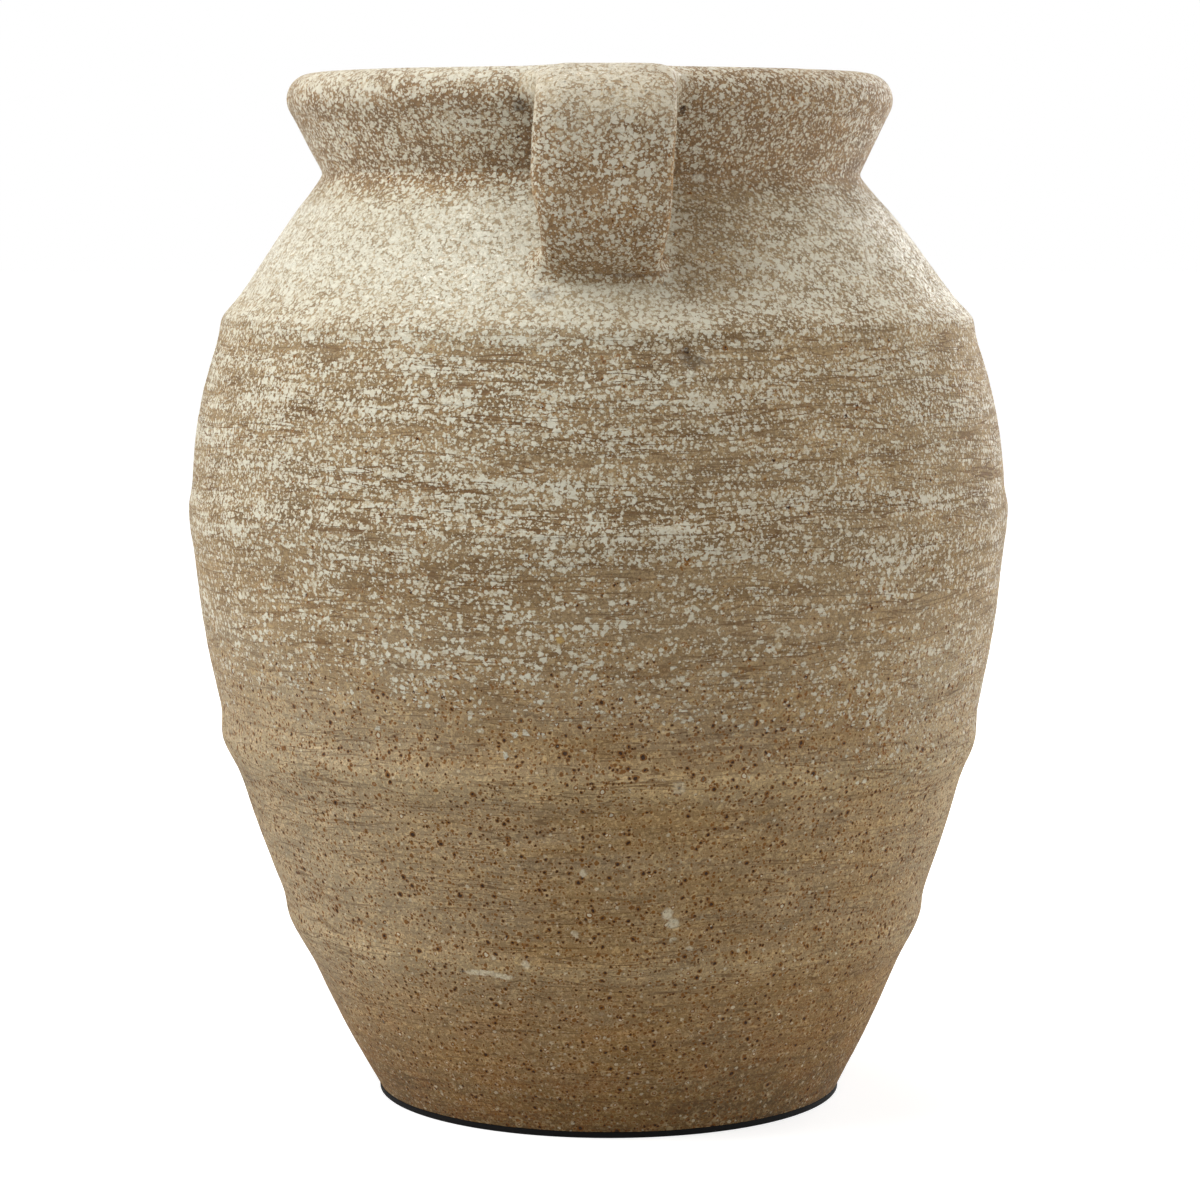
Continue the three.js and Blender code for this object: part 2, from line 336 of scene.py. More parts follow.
def ridge_at(height):
    """How far the ridges stand out at a height: steeper above their crest than below it."""
    above = height - np.array(join_heights) + ridge_drop
    reach = np.where(above > 0, ridge_above, ridge_below)
    return float((ridge_proud * np.exp(-(above / reach) ** 2)).sum())


def drift_at(height):
    """How far the pot's axis has moved sideways. The shoulder leans late, close to the neck."""
    lean_height = neck_height - lean_below_neck
    lean = np.interp(lean_height, join_heights, join_drifts) + lean_back
    heights = [*join_heights[:-1], lean_height, neck_height, rim_top]
    return np.interp(height, heights, [*join_drifts[:-1], lean, join_drifts[-1], lip_drift])


print(f"widest ridge {outer_radius(join_heights[3]):.1f} mm from the axis")

# %% [markdown]
# The wall and the round of the lip become one line of evenly spaced points, and the line is smoothed.


# %% Outline of the outside
def even_line(points, step):
    """The same line with points a step apart."""
    lengths = np.append(0, np.hypot(*np.diff(points, axis=0).T).cumsum())
    at = np.linspace(0, lengths[-1], int(lengths[-1] / step) + 1)
    return np.stack([np.interp(at, lengths, column) for column in points.T], 1)


def softened(points, step, softness):
    """The line smoothed along its length, with both ends held."""
    reach = int(4 * softness / step)
    weights = np.exp(-0.5 * (np.arange(-reach, reach + 1) * step / softness) ** 2)
    before = 2 * points[0] - points[reach:0:-1]
    after = 2 * points[-1] - points[-2:-reach - 2:-1]
    padded = np.concatenate([before, points, after])
    return np.stack([np.convolve(column, weights / weights.sum(), "valid") for column in padded.T], 1)


def lip_point(angle):
    """A point on the round of the lip."""
    return lip_centre[0] + lip_roll * math.cos(angle), lip_centre[1] + lip_roll * math.sin(angle)


wall_line = [(outer_radius(z), z) for z in np.arange(join_heights[0], neck_height + 0.01, wall_step)]
lip_line = [lip_point(a) for a in np.linspace(lip_meet_angle, math.pi, lip_points)]
outline = softened(even_line(np.array(wall_line + lip_line), outline_step), outline_step, rib_softness)
print(f"outline of {len(outline)} points, {len(outline) * outline_step:.0f} mm long")

# %% [markdown]
# ## Lap the sections
# Each section's upper edge has an inner upstand, and the next section sits over it with a hair of
# room for slip. The outline is cut at the joins, and each part is closed with its lap faces and its
# inside. Each point also carries where its face looks, how much of a ridge it is on, and whether it
# lies inside the pot: the next step reads these.

# %% Both faces of the wall
outer_row = 0.6
inner_row = 2.2


def inner_radius(height):
    """Inside of the wall, thinner or thicker with its slope as measured square to the clay."""
    heights = [*join_heights, lip_centre[1]]
    outside = [radius - proud for radius, proud in zip(join_radii, frame_proud)]
    lip_radius_low, lip_height_low = lip_point(lip_meet_angle)
    rim_slope = (lip_radius_low - outside[-1]) / (lip_height_low - neck_height)
    slopes = [*np.diff(outside) / np.diff(join_heights), rim_slope]
    slopes = [slopes[0], *(np.add(slopes[1:], slopes[:-1]) / 2)]
    inside = [r - wall_thickness * math.hypot(1, s) for r, s in zip(outside, slopes)]
    radius = np.interp(height, heights, [*inside, lip_centre[0] - lip_roll])
    if height >= neck_height:
        return float(radius)
    low = section_of(height)
    share = (height - heights[low]) / (heights[low + 1] - heights[low])
    return float(radius + frame_swells[low] * 4 * share * (1 - share))


def outside_at(height):
    """Radius of the finished outline at a height below the top of the lip."""
    top = outline[:, 1].argmax()
    return float(np.interp(height, outline[:top, 1], outline[:top, 0]))


def step_radius(join):
    """Where the lapped join steps: the middle of the wall, half way up the lap."""
    height = join_heights[join] + lap_height / 2
    return (outside_at(height) + inner_radius(height)) / 2


def outside_between(low, high):
    """The part of the outline from one height to another, or to the lip's inner end."""
    start = np.argmax(outline[:, 1] >= low)
    if high is None:
        return even_line(outline[start:], outer_row)
    end = np.argmax(outline[:, 1] >= high)
    line = outline[start:end + 1].copy()
    line[0] = outside_at(low), low
    line[-1] = outside_at(high), high
    return even_line(line, outer_row)


def inside_between(high, low):
    """The inner wall from one height down to another."""
    count = max(2, round((high - low) / inner_row))
    return np.array([(inner_radius(z), z) for z in np.linspace(high, low, count)])


print(f"the neck is {2 * inner_radius(neck_height):.0f} mm wide inside")

# %% [markdown]
# One profile runs up the outside, over the step of the upper lap, down the inside and back over the
# step of the lower lap. The lowest section stands round the floor slab instead.

# %% Profile of each section
slab_edge = ring_at("floor_slab", join_heights[0])[0] + fit_gap
floor_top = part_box("floor_slab")[1].z / MM


def section_profile(number):
    """Closed line of one wall section, what kind each point is (1 outside, -1 inside, 0 join) and
    the direction in which its face looks."""
    low = join_heights[number]
    last = number == len(section_names) - 1
    high = None if last else join_heights[number + 1]
    outside = outside_between(low, high)
    top_step = [] if last else [(step_radius(number + 1), z) for z in (high, high + lap_height)]
    inside_top = lip_centre[1] - inner_row if last else high + lap_height
    if number == 0:
        inside = inside_between(inside_top, floor_top)
        bottom_step = [(slab_edge, floor_top), (slab_edge, low)]
    else:
        inside = inside_between(inside_top, low + lap_height + fit_gap)
        step = step_radius(number) + fit_gap
        bottom_step = [(step, low + lap_height + fit_gap), (step, low)]
    parts = [(outside, 1), (top_step, 0), (inside, -1), (bottom_step, 0)]
    points = np.array([p for part, _ in parts for p in part])
    kinds = np.array([kind for part, kind in parts for _ in part])
    looks = np.concatenate([looking(np.array(part), kind) for part, kind in parts if len(part)])
    return points, kinds, looks


def looking(part, kind):
    """Unit vectors square to a line of points, to the right of its way; none on a join's faces."""
    if kind == 0:
        return np.zeros((len(part), 2))
    ahead = np.gradient(part, axis=0)
    return np.stack([ahead[:, 1], -ahead[:, 0]], 1) / np.hypot(*ahead.T)[:, None]


print("profiles of", [len(section_profile(i)[0]) for i in range(len(section_names))], "points")

# %% [markdown]
# ## Turn it on the wheel
# A lathe is a rule, so Geometry Nodes do it: the profile is swept round a tiny circle. The tree
# then does what hands do. It lets the wall wander slowly from true, moves the ridges up and down a
# little, leaves throwing marks on both faces, presses in a few knocks and pulls out the spout.
# Noise reads the place in the pot, so two neighbouring sections always agree at their join.

# %% Knocks
knocks = {
    # angle to the right of the handle, height, how wide, how deep
    "pit under the shoulder ridge": (12.8, 237.1, 2.6, 0.7),
    "dent left of the handle": (-24, 262, 9, 0.5),
    "dent right of the handle": (33, 270, 8, 0.5),
    "flat on the belly": (-9, 196, 14, 0.4),
    "thumb mark low down": (18, 84, 9, 0.35),
    "scrape by the foot": (-28, 30, 10, 0.4),
    # Clay was pushed up where the strap joins the lip, so this depth is negative
    "swelling over the handle": (2, 319.7, 26, -0.75),
}


def on_wall(angle, height):
    """The point of the outside at an angle from the handle and a height, in metres."""
    radius = outside_at(height)
    turn = math.radians(angle)
    return Vector((radius * math.sin(turn) + drift_at(height), -radius * math.cos(turn), height)) * MM


print(len(knocks), "knocks on the wall")

# %% [markdown]
# The tree's inputs are the sizes that a potter would choose, in millimetres. Its other values say
# how large the lumps of each kind of noise are, and where along the pot each kind fades out.

# %% Inputs of the turned clay
turned_inputs = {
    "Profile": ("Geometry",),
    "Columns": ("Int", 512),
    "Wander": ("Float", 0.6),
    "Ridge Wander": ("Float", 1.3),
    "Ribbing": ("Float", 0.22),
    "Brush Lines": ("Float", 0.12),
    "Lumps": ("Float", 0.3),
    "Inside Rings": ("Float", 0.45),
    "Inside Pitch": ("Float", 7.0),
    "Spout Reach": ("Float", 0.0),
    "Spout Half Width": ("Float", 30.0),
    "Spout Dip": ("Float", 1.5),
    "Spout From": ("Float", 294.0),
    "Spout Rise": ("Float", 26.0),
    "Widest": ("Float", 128.5),
    "Highest": ("Float", 320.9),
    "Clay": ("Material",),
}
turned_tree, turned, turned_end = new_tree(
    "turned clay", "GeometryNodeTree", turned_inputs, {"Piece": ("Geometry",)})
tiny_circle = 2e-6
same_point = 1e-5
never_zero = 1e-9
wander_size = 110
loose_above = (3, 45)
settled_near_lip = (280, 318)
ribbing_size = (150, 150, 8)
brush_size = (34, 34, 1.9)
lump_size = (26, 26, 14)
ridge_wear_size = 45
ridge_wear = 1.1
knock_middle = 0.2
sharp_corner = 38
print(len(turned_inputs), "inputs")

# %% [markdown]
# The marks of the hand only move a point along the way its face looks. The spout is a pull on top of
# that, strongest in the middle and at the top, and nothing beyond its half width.


# %% Marks of the hand
def named(tree, label):
    """A number that the profile carries at each point."""
    inputs = {"Name": label}
    return place(tree, "GeometryNodeInputNamedAttribute", inputs, "Attribute", data_type="FLOAT")


def hand_marks(tree, where):
    """How far out the outer face stands for ribbing, brush lines, lumps and knocks, in metres."""
    ribbing = centred(noise(where, ribbing_size, 1, seed=2.0)) * turned["Ribbing"] * MM
    lines = centred(noise(where, brush_size, 1, seed=3.0)) * turned["Brush Lines"] * MM
    lumps = centred(noise(where, lump_size, 2, seed=4.0)) * turned["Lumps"] * MM
    worn_ridge = named(tree, "ridge") * centred(noise(where, ridge_wear_size, 1, seed=5.0))
    marks = ribbing + lines + lumps + worn_ridge * ridge_wear * MM
    for angle, height, wide, deep in knocks.values():
        upright = on_wall(angle, height) - Vector((drift_at(height) * MM, 0, 0))
        away = vector_math("DISTANCE", where, tuple(upright))
        marks = marks - (1 - ramp(away, knock_middle * wide * MM, wide * MM)) * deep * MM
    return marks


def spout_pull(x, y, z, radius):
    """Share of the spout's pull at a place: all of it at the top of the rim opposite the handle."""
    along = radius * x.math("ARCTAN2", y) / (turned["Spout Half Width"] * MM)
    rise = ((z - turned["Spout From"] * MM) / (turned["Spout Rise"] * MM)).at_least(0)
    return (1 - along ** 2).at_least(0) ** 2 * rise ** 1.5


print("hand marks ready")

# %% [markdown]
# Now all the moves are added up, and the tree itself is built: circle, profile, sweep, moves, shading.


# %% Tree of the turned clay
def moved_place(tree):
    """Where each point of the round wall goes."""
    where = place(tree, "GeometryNodeInputPosition")
    x, y, z = split(where)
    radius = (x ** 2 + y ** 2) ** 0.5 + never_zero
    skin = named(tree, "kind").at_least(0)
    bore = (named(tree, "kind") * -1).at_least(0)

    # Slow wander of the whole wall, none at the foot
    slow_r, slow_z, _ = split(noise(where, wander_size, 1, "Color", seed=1.0))
    loose = rise_over(z, loose_above)
    wander = centred(slow_r) * turned["Wander"] * MM * loose
    settled = 1 - rise_over(z, settled_near_lip)
    lift = centred(slow_z) * 2 * turned["Ridge Wander"] * MM * loose * settled

    # Throwing rings inside climb as the potter's fingers did
    turn = y.math("ARCTAN2", x)
    rings = ((z - radius) * 2 * math.pi / (turned["Inside Pitch"] * MM) + turn).math("SINE")
    rings = (rings - 1) * 0.5 * turned["Inside Rings"] * MM * bore
    push = hand_marks(tree, where) * skin + rings

    # The spout reaches out and dips a little, on the rim alone
    pull = spout_pull(x, y, z, radius)
    has_spout = (turned["Spout Reach"] * 10).at_most(1)
    out_r = named(tree, "look_r") * push + wander + turned["Spout Reach"] * MM * pull
    out_z = named(tree, "look_z") * push + lift - turned["Spout Dip"] * MM * pull * has_spout
    grow = (radius + out_r).at_most(turned["Widest"] * MM) / radius
    lean = named(tree, "drift") * MM
    return join(tree, x * grow + lean, y * grow, (z + out_z).at_most(turned["Highest"] * MM))


def build_turned_tree():
    tree = turned_tree
    around = {"Resolution": turned["Columns"], "Radius": tiny_circle}
    tiny = place(tree, "GeometryNodeCurvePrimitiveCircle", around)
    line = place(tree, "GeometryNodeMeshToCurve", {"Mesh": turned["Profile"]})
    body = place(tree, "GeometryNodeCurveToMesh", {"Curve": tiny, "Profile Curve": line})
    body = place(tree, "GeometryNodeMergeByDistance", {"Geometry": body, "Distance": same_point})
    body = place(tree, "GeometryNodeSetPosition", {"Geometry": body, "Position": moved_place(tree)})

    # Shading stays smooth except over the sharp corners of the laps
    edge = place(tree, "GeometryNodeInputMeshEdgeAngle", output="Unsigned Angle")
    corner = edge.math("GREATER_THAN", math.radians(sharp_corner))
    smooth = {"Geometry": body, "Selection": corner, "Shade Smooth": False}
    body = place(tree, "GeometryNodeSetShadeSmooth", smooth, domain="EDGE")
    body = place(tree, "GeometryNodeFlipFaces", {"Mesh": body})
    body = place(tree, "GeometryNodeRealizeInstances", {"Geometry": body})
    body = place(tree, "GeometryNodeSetMaterial", {"Geometry": body, "Material": turned["Clay"]})
    tree.links.new(body.socket, turned_end.inputs["Piece"])


build_turned_tree()
print("turned clay tree of", len(turned_tree.nodes), "nodes")

# %% [markdown]
# ## Names for the tree's inputs
# A modifier stores a tree's inputs by identifier and not by name, so a small helper looks each one
# up. It then turns the evaluated result into a plain mesh and takes the modifier away.


# %% Bake a tree into a mesh
inside_starts = 14
inside_fades = 22


def link(obj):
    """Puts an object into the scene."""
    bpy.context.scene.collection.objects.link(obj)
    return obj


def run_tree(name, mesh, tree, values):
    """Runs a Geometry Nodes tree on a mesh and returns the result as an object of that name."""
    holder = link(bpy.data.objects.new(name + "_profile", mesh))
    modifier = holder.modifiers.new("tree", "NODES")
    modifier.node_group = tree
    names = {s.name: s.identifier for s in tree.interface.items_tree if s.in_out == "INPUT"}
    for label, value in values.items():
        modifier[names[label]] = value
    graph = bpy.context.evaluated_depsgraph_get()
    result = bpy.data.meshes.new_from_object(holder.evaluated_get(graph))
    holder.modifiers.remove(modifier)
    bpy.data.objects.remove(holder)
    return link(bpy.data.objects.new(name, result))


def profile_mesh(name, points, kinds, looks, closed=True):
    """A profile as a mesh of points and edges, in metres, with what the tree reads at each point."""
    count = len(points)
    edges = [(i, (i + 1) % count) for i in range(count if closed else count - 1)]
    mesh = bpy.data.meshes.new(name)
    # Curve to Mesh lays a profile's Y downwards round this circle, so heights are written negative.
    mesh.from_pydata([(r * MM, -z * MM, 0) for r, z in points], edges, [])
    depth = np.clip((rim_top - inside_starts - points[:, 1]) / inside_fades, 0, 1)
    values = {
        "kind": kinds,
        "look_r": looks[:, 0],
        "look_z": looks[:, 1],
        "ridge": [ridge_at(z) for z in points[:, 1]],
        "drift": drift_at(points[:, 1]),
        "inside": np.where(kinds < 0, depth, 0),
    }
    for label, numbers in values.items():
        attribute = mesh.attributes.new(label, "FLOAT", "POINT")
        attribute.data.foreach_set("value", np.asarray(numbers, np.float32))
    return mesh


print("helpers ready")

# %% [markdown]
# ## Clay and slip, as materials
# The bare clay is a sandy brown that holds iron, which burns into rust and black specks in the
# kiln. Over it, from the belly up, lies thin cream slip that was spattered on. The drops run
# together on the shoulder and thin out below the widest place. Each of these effects is a node
# group that only makes masks and colours, so that each material can use it with its own values.


# %% Colours
def srgb(code):
    """A colour written as it looks on screen, such as d8ceb6, as Blender's linear numbers."""
    values = [int(code[i:i + 2], 16) / 255 for i in (0, 2, 4)]
    return (*[v / 12.92 if v <= 0.04045 else ((v + 0.055) / 1.055) ** 2.4 for v in values], 1.0)


cream_slip = srgb("e4e0cc")
thin_slip = srgb("c4b494")
taupe_clay = srgb("ac946d")
dark_taupe = srgb("8c724b")
khaki_clay = srgb("bda27a")
pale_khaki = srgb("d4ba8c")
brown_clay = srgb("a68759")
red_clay = srgb("966e34")
strap_brown = srgb("94704a")
burnt_patch = srgb("8c5216")
deep_brown = srgb("5c3811")
rust = srgb("84500e")
worn_ochre = srgb("c08e48")
# Black of iron cores, also used as painted shade in the hollow and slit beside the strap
black_iron_and_shade = srgb("241305")
pale_grit = srgb("e6dabc")
ash_grey = srgb("766a60")
soot_grey = srgb("5a4a36")
yellow_grain = srgb("c8a45a")
# Pale grey, used as painted light and sheen towards the edges of the lower wall
dust = srgb("cfbe9e")


def mix_colour(tree, share, first, second, blend="MIX"):
    """The second colour laid over a share of the first."""
    node = tree.nodes.new("ShaderNodeMix")
    node.data_type = "RGBA"
    node.blend_type = blend
    for slot, value in ((0, share), (6, first), (7, second)):
        feed(tree, node.inputs[slot], value)
    return Wire(tree, node.outputs[2])


print("nineteen colours of clay, slip and iron")

# %% [markdown]
# ## Random cells
# A drop of slip and a grain of iron are both small round things with a size of their own. Voronoi
# cells give exactly that: each cell has a middle, and random numbers that stay the same all over
# it. The place is shaken a little first, so that no outline is a perfect circle.


# %% Cells
def cells(vector, cell, seed):
    """Distance from the middle of the nearest cell, counted in cells, and its three random numbers."""
    moved = vector_math("ADD", vector, (seed * MM, seed * 1.7 * MM, seed * 2.3 * MM))
    inputs = {"Vector": moved, "Scale": 1 / (cell * MM)}
    node = place(vector.tree, "ShaderNodeTexVoronoi", inputs).socket.node
    return Wire(vector.tree, node.outputs["Distance"]), split(Wire(vector.tree, node.outputs["Color"]))


def shaken(vector, size, reach, seed):
    """The vector moved about by noise, by up to half the reach each way, in millimetres."""
    moved = noise(vector, size, 1, "Color", seed=seed)
    return vector_math("MULTIPLY_ADD", moved, (reach * MM,) * 3, vector)


def use_group(tree, group, inputs):
    """Places a node group and gives its outputs by name."""
    node = tree.nodes.new("ShaderNodeGroup")
    node.node_tree = group
    for label, value in inputs.items():
        feed(tree, node.inputs[label], value)
    return {out.name: Wire(tree, out) for out in node.outputs}


def keep_most(totals, layers):
    """Adds layers to totals. Where two of them lie on each other, the stronger one shows."""
    for label, layer in layers.items():
        totals[label] = totals[label].at_least(layer) if label in totals else layer


print("cells ready")

# %% [markdown]
# ## Spattered drops
# Three sizes of drop lie over each other. Where little slip fell, a share of the cells holds a drop
# each. Where more fell, every cell has one and they grow until they run together and leave only
# thin gaps. Random balls of radius r leave a share of exp(-4/3 pi r^3) uncovered, so the
# radius for a wanted cover follows from its logarithm.

# %% Spatter group
spatter_tree, spatter_in, spatter_end = new_tree(
    "spattered drops", "ShaderNodeTree",
    {"Vector": ("Vector",), "Cover": ("Float", 0.5)},
    {"Mask": ("Float",), "Shade": ("Float",), "Rim": ("Float",)})
drop_kinds = (
    # cell in mm, share of the slip, growth below the widest place, seed
    (1.3, 0.38, 0.08, 11.0),
    (0.85, 0.34, -0.4, 23.0),
    (2.5, 0.28, 0.16, 37.0),
)
sparse_cover = 0.28
most_cover = 0.93
always_there = 1.02
drop_shake_size = 0.8
drop_shake = 0.9
ragged_size = (1.1, 1.1, 0.9)
drop_ragged = 0.75
smallest_drop = 0.72
drop_spread = 0.5
drop_edge = (-0.07, 0.1)
drop_rim = (-0.3, -0.06)
chance_edge = (-0.01, 0.02)
larger_drops_below = (160, 196)


def build_spatter():
    where = spatter_in["Vector"]
    at = shaken(where, drop_shake_size, drop_shake, seed=4.0)
    cover = spatter_in["Cover"].at_least(0).at_most(most_cover)
    present = (cover / sparse_cover).at_most(always_there)
    bare_share = 1 - cover.at_least(sparse_cover)
    ragged = centred(noise(where, ragged_size, 2, seed=5.0)) * drop_ragged
    low_down = 1 - rise_over(split(where)[2], larger_drops_below)
    totals = {}
    for cell, share, growth, seed in drop_kinds:
        distance, (chance, size, tone) = cells(at, cell, seed)
        volume = bare_share.math("LOGARITHM", math.e) * (-3 / (4 * math.pi) * share)
        reach = volume ** (1 / 3) * (smallest_drop + drop_spread * size) * (1 + growth * low_down)
        chosen = ramp(present - chance, *chance_edge)
        inside = reach + ragged - distance
        drop = ramp(inside, *drop_edge) * chosen
        near = ramp(inside, *drop_rim) * chosen
        keep_most(totals, {"Mask": drop, "Shade": drop * tone, "Near": near})
    # The rim is a thin dark ring round each drop: dark clay, and painted shadow at the drop's edge
    rim = totals.pop("Near") - totals["Mask"]
    give(spatter_end, {**totals, "Rim": rim})


build_spatter()
print("spatter group of", len(spatter_tree.nodes), "nodes")

# %% [markdown]
# ## Iron in the clay
# Iron grains burst to the surface as rust-brown spots, some with a dark core, and the clay around
# the larger ones burns pale. They are few under the slip and many on the bare lower wall.

# %% Iron speck group
iron_tree, iron_in, iron_end = new_tree(
    "iron specks", "ShaderNodeTree",
    {"Vector": ("Vector",), "Amount": ("Float", 0.5)},
    {"Rust": ("Float",), "Core": ("Float",), "Halo": ("Float",), "Blister": ("Float",)})
iron_kinds = (
    # cell in mm, radius in cells, share with a dark core, seed
    (3.5, 0.18, 0.9, 51.0),
    (2.1, 0.23, 0.75, 67.0),
    (1.5, 0.24, 0.5, 83.0),
    (1.1, 0.24, 0.2, 29.0),
)
speck_shake_size = 1.1
speck_shake = 0.9
smallest_speck = 0.6
speck_spread = 1.1
speck_core = 0.6
speck_ring = 1.75
speck_blur = 0.1
outer_blur = 1.2
inner_blur = 0.8
speck_chance_edge = (-0.04, 0.04)
core_chance_edge = (-0.05, 0.05)
palest_rust = 0.6
weak_halo = 0.2
strong_halo_chance = (0.62, 0.68)
full_halo_cell = 2
blistered_share = 0.16
blister_chance_edge = (-0.02, 0.02)
least_blister_cell = 1.5


def build_iron():
    at = shaken(iron_in["Vector"], speck_shake_size, speck_shake, seed=9.0)
    totals = {}
    for cell, radius, cored, seed in iron_kinds:
        distance, (chance, size, depth) = cells(at, cell, seed)
        there = ramp(iron_in["Amount"] - chance, *speck_chance_edge)
        reach = radius * (smallest_speck + speck_spread * size * size) * there
        soft = speck_blur / cell
        core = ramp(reach * speck_core - distance, -soft, soft)
        speck = ramp(reach - distance, -outer_blur * soft, inner_blur * soft)
        ring = ramp(reach * speck_ring - distance, -outer_blur * soft, outer_blur * soft)
        halo_strength = weak_halo + (1 - weak_halo) * ramp(depth, *strong_halo_chance)
        blistered = ramp(depth - (1 - blistered_share), *blister_chance_edge)
        keep_most(totals, {
            "Rust": speck * (palest_rust + (1 - palest_rust) * size),
            "Core": core * ramp(cored - depth, *core_chance_edge),
            "Halo": ring * there * halo_strength * min(1, cell / full_halo_cell),
            "Blister": core * blistered * (1 if cell > least_blister_cell else 0),
        })
    give(iron_end, totals)


build_iron()
print("iron group of", len(iron_tree.nodes), "nodes")

# %% [markdown]
# ## Brush and wheel marks
# The turning wheel and a wide brush leave level marks: dark hairlines, soft bands and clumps that
# are wider than they are tall. All of them read one place that is bent by slow waves, so that the
# marks rise and fall together as they do when a hand follows the turning pot.

# %% Level marks group
marks_tree, marks_in, marks_end = new_tree(
    "level marks", "ShaderNodeTree",
    {"Vector": ("Vector",)},
    {name: ("Float",) for name in ("Hairlines", "Bands", "Clumps", "Smears", "Strokes")})
waves = (
    # how long in mm, how high in mm, seed
    (75, 7, 12.0),
    (24, 1.5, 19.0),
)
long_hairlines = ((32, 32, 2.4), (0.004, 0.022), 13.0)
fine_hairlines = ((60, 60, 4.4), (0.003, 0.014), 21.0)
fine_strength = 0.7
gate_size = (30, 30, 9)
gate_edge = (0.42, 0.55)
soft_marks = {
    # size in mm, detail, seed, roughness
    "Bands": ((90, 90, 5.2), 2, 14.0, 0.6),
    "Clumps": ((7.5, 7.5, 4), 2, 15.0, 0.5),
    "Smears": ((34, 34, 4.2), 3, 22.0, 0.6),
    "Strokes": ((32, 32, 1.5), 2, 24.0, 0.5),
}


def hairline(waved, size, edge, seed):
    """A thin line wherever the noise crosses its middle."""
    return 1 - ramp(centred(noise(waved, size, 1, seed=seed)).math("ABSOLUTE"), *edge)


def build_marks():
    where = marks_in["Vector"]
    x, y, z = split(where)
    long_wave, short_wave = [
        centred(noise(where, length, 1, seed=seed)) * high * MM for length, high, seed in waves]
    waved = join(marks_tree, x, y, z + (long_wave + short_wave))
    gate = ramp(noise(waved, gate_size, 2, seed=20.0), *gate_edge)
    lines = hairline(waved, *long_hairlines) * gate
    marks = {"Hairlines": lines.at_least(hairline(waved, *fine_hairlines) * fine_strength)}
    for label, (size, detail, seed, roughness) in soft_marks.items():
        marks[label] = noise(waved, size, detail, seed=seed, roughness=roughness)
    give(marks_end, marks)


build_marks()
print("level marks group of", len(marks_tree.nodes), "nodes")

# %% [markdown]
# ## The fired surface
# This group puts the layers in order. Clay comes first: taupe above, khaki in the middle, redder
# towards the foot, with soft brush marks, grain and sand. Then iron, then slip, as a thin wash and
# as drops. How much slip lies at a place comes in from outside, and noise breaks it into clumps.
# The next cells make one layer each. First come the masks that several layers read.

# %% Masks of the surface
fired_tree, fired_in, fired_end = new_tree(
    "fired clay", "ShaderNodeTree",
    {
        "Vector": ("Vector",),
        "Cover": ("Float", 0.5),
        "Iron": ("Float", 1.0),
        "Level": ("Float", 1.0),
        "Inside": ("Float", 0.0),
        "Ridge": ("Float", 0.0),
        "Worn": ("Float", 0.0),
        "Slip Strength": ("Float", 1.0),
    },
    {"Color": ("Color",), "Roughness": ("Float",), "Height": ("Float",)})
where = fired_in["Vector"]
level = fired_in["Level"]
pot_x, _, pot_z = split(where)
marks = use_group(fired_tree, marks_tree, {"Vector": where})

grain = ramp(noise(where, (1.15, 1.15, 1.0), 3, seed=16.0, roughness=0.8), 0.41, 0.59)
mottle = noise(where, (46, 46, 26), 3, seed=17.0)
patch = noise(where, (13, 13, 8), 2, seed=23.0)

shoulder_ridge = (240, 250)
least_hairlines = 0.15
below_shoulder = 1 - rise_over(pot_z, shoulder_ridge)
hairlines = marks["Hairlines"] * level * (least_hairlines + (1 - least_hairlines) * below_shoulder)

taupe_edge = (120, 180)
taupe_edge_wander = 70
foot_share = 1 - rise_over(pot_z, (0, 80))
taupe_share = rise_over(pot_z + centred(mottle) * taupe_edge_wander * MM, taupe_edge)
lower_share = 1 - taupe_share
bare_share = 1 - rise_over(pot_z, (122, 165))
rim_share = rise_over(pot_z, (281, 290))
browner = (1 - level).at_least(rim_share)
worn_patchy = 1.6
worn_grainy = 0.3
worn = fired_in["Worn"] + centred(patch) * worn_patchy + centred(grain) * worn_grainy
worn = ramp(worn, 0.45, 0.9)
print("masks of the surface ready")

# %% [markdown]
# Each tint below is a colour and how strongly it lies over what is already there. The order matters:
# a later tint covers the earlier ones, as a later coat of paint does.


# %% Body of the clay
def tinted(clay, *tints):
    """Lays colours over the clay one after the other. Each comes with its share."""
    for share, colour in tints:
        clay = mix_colour(fired_tree, share, clay, colour)
    return clay


def clay_body():
    smeared = marks["Smears"] * 0.5 + mottle * 0.5
    body = tinted(khaki_clay, (ramp(smeared, 0.4, 0.6), brown_clay))
    taupe = tinted(taupe_clay, (ramp(marks["Bands"], 0.42, 0.62) * 0.7, dark_taupe))
    # Paler along the ridge crests: worn clay, and a painted highlight where the crest faces the light
    crest = ramp(fired_in["Ridge"], 0.9, 2.3) * lower_share
    # Painted light and sheen: the lower wall turns paler and greyer towards its left side and right
    # edge
    painted_edge_sheen = rise_over(pot_x * -1, (15, 95)).at_least(rise_over(pot_x, (72, 108)))
    painted_edge_sheen = painted_edge_sheen * lower_share * rise_over(pot_z, (15, 60))
    return tinted(
        body,
        (foot_share * 0.8, red_clay),
        (ramp(patch, 0.5, 0.66) * foot_share * 0.4, burnt_patch),
        (taupe_share * 0.9, taupe),
        (crest * 0.5, pale_khaki),
        (painted_edge_sheen * 0.62, dust),
        (browner * 0.55, strap_brown),
        (worn * 0.58, worn_ochre),
    )


body_colour = clay_body()
print("clay body in", len(fired_tree.nodes), "nodes so far")

# %% [markdown]
# Grain darkens the clay between its grains, and light and dark patches come from how the pot stood
# in the kiln. The foot is darker, a stain and painted shade near the table, and the right side of the
# lower wall and of the rim gets painted shade.


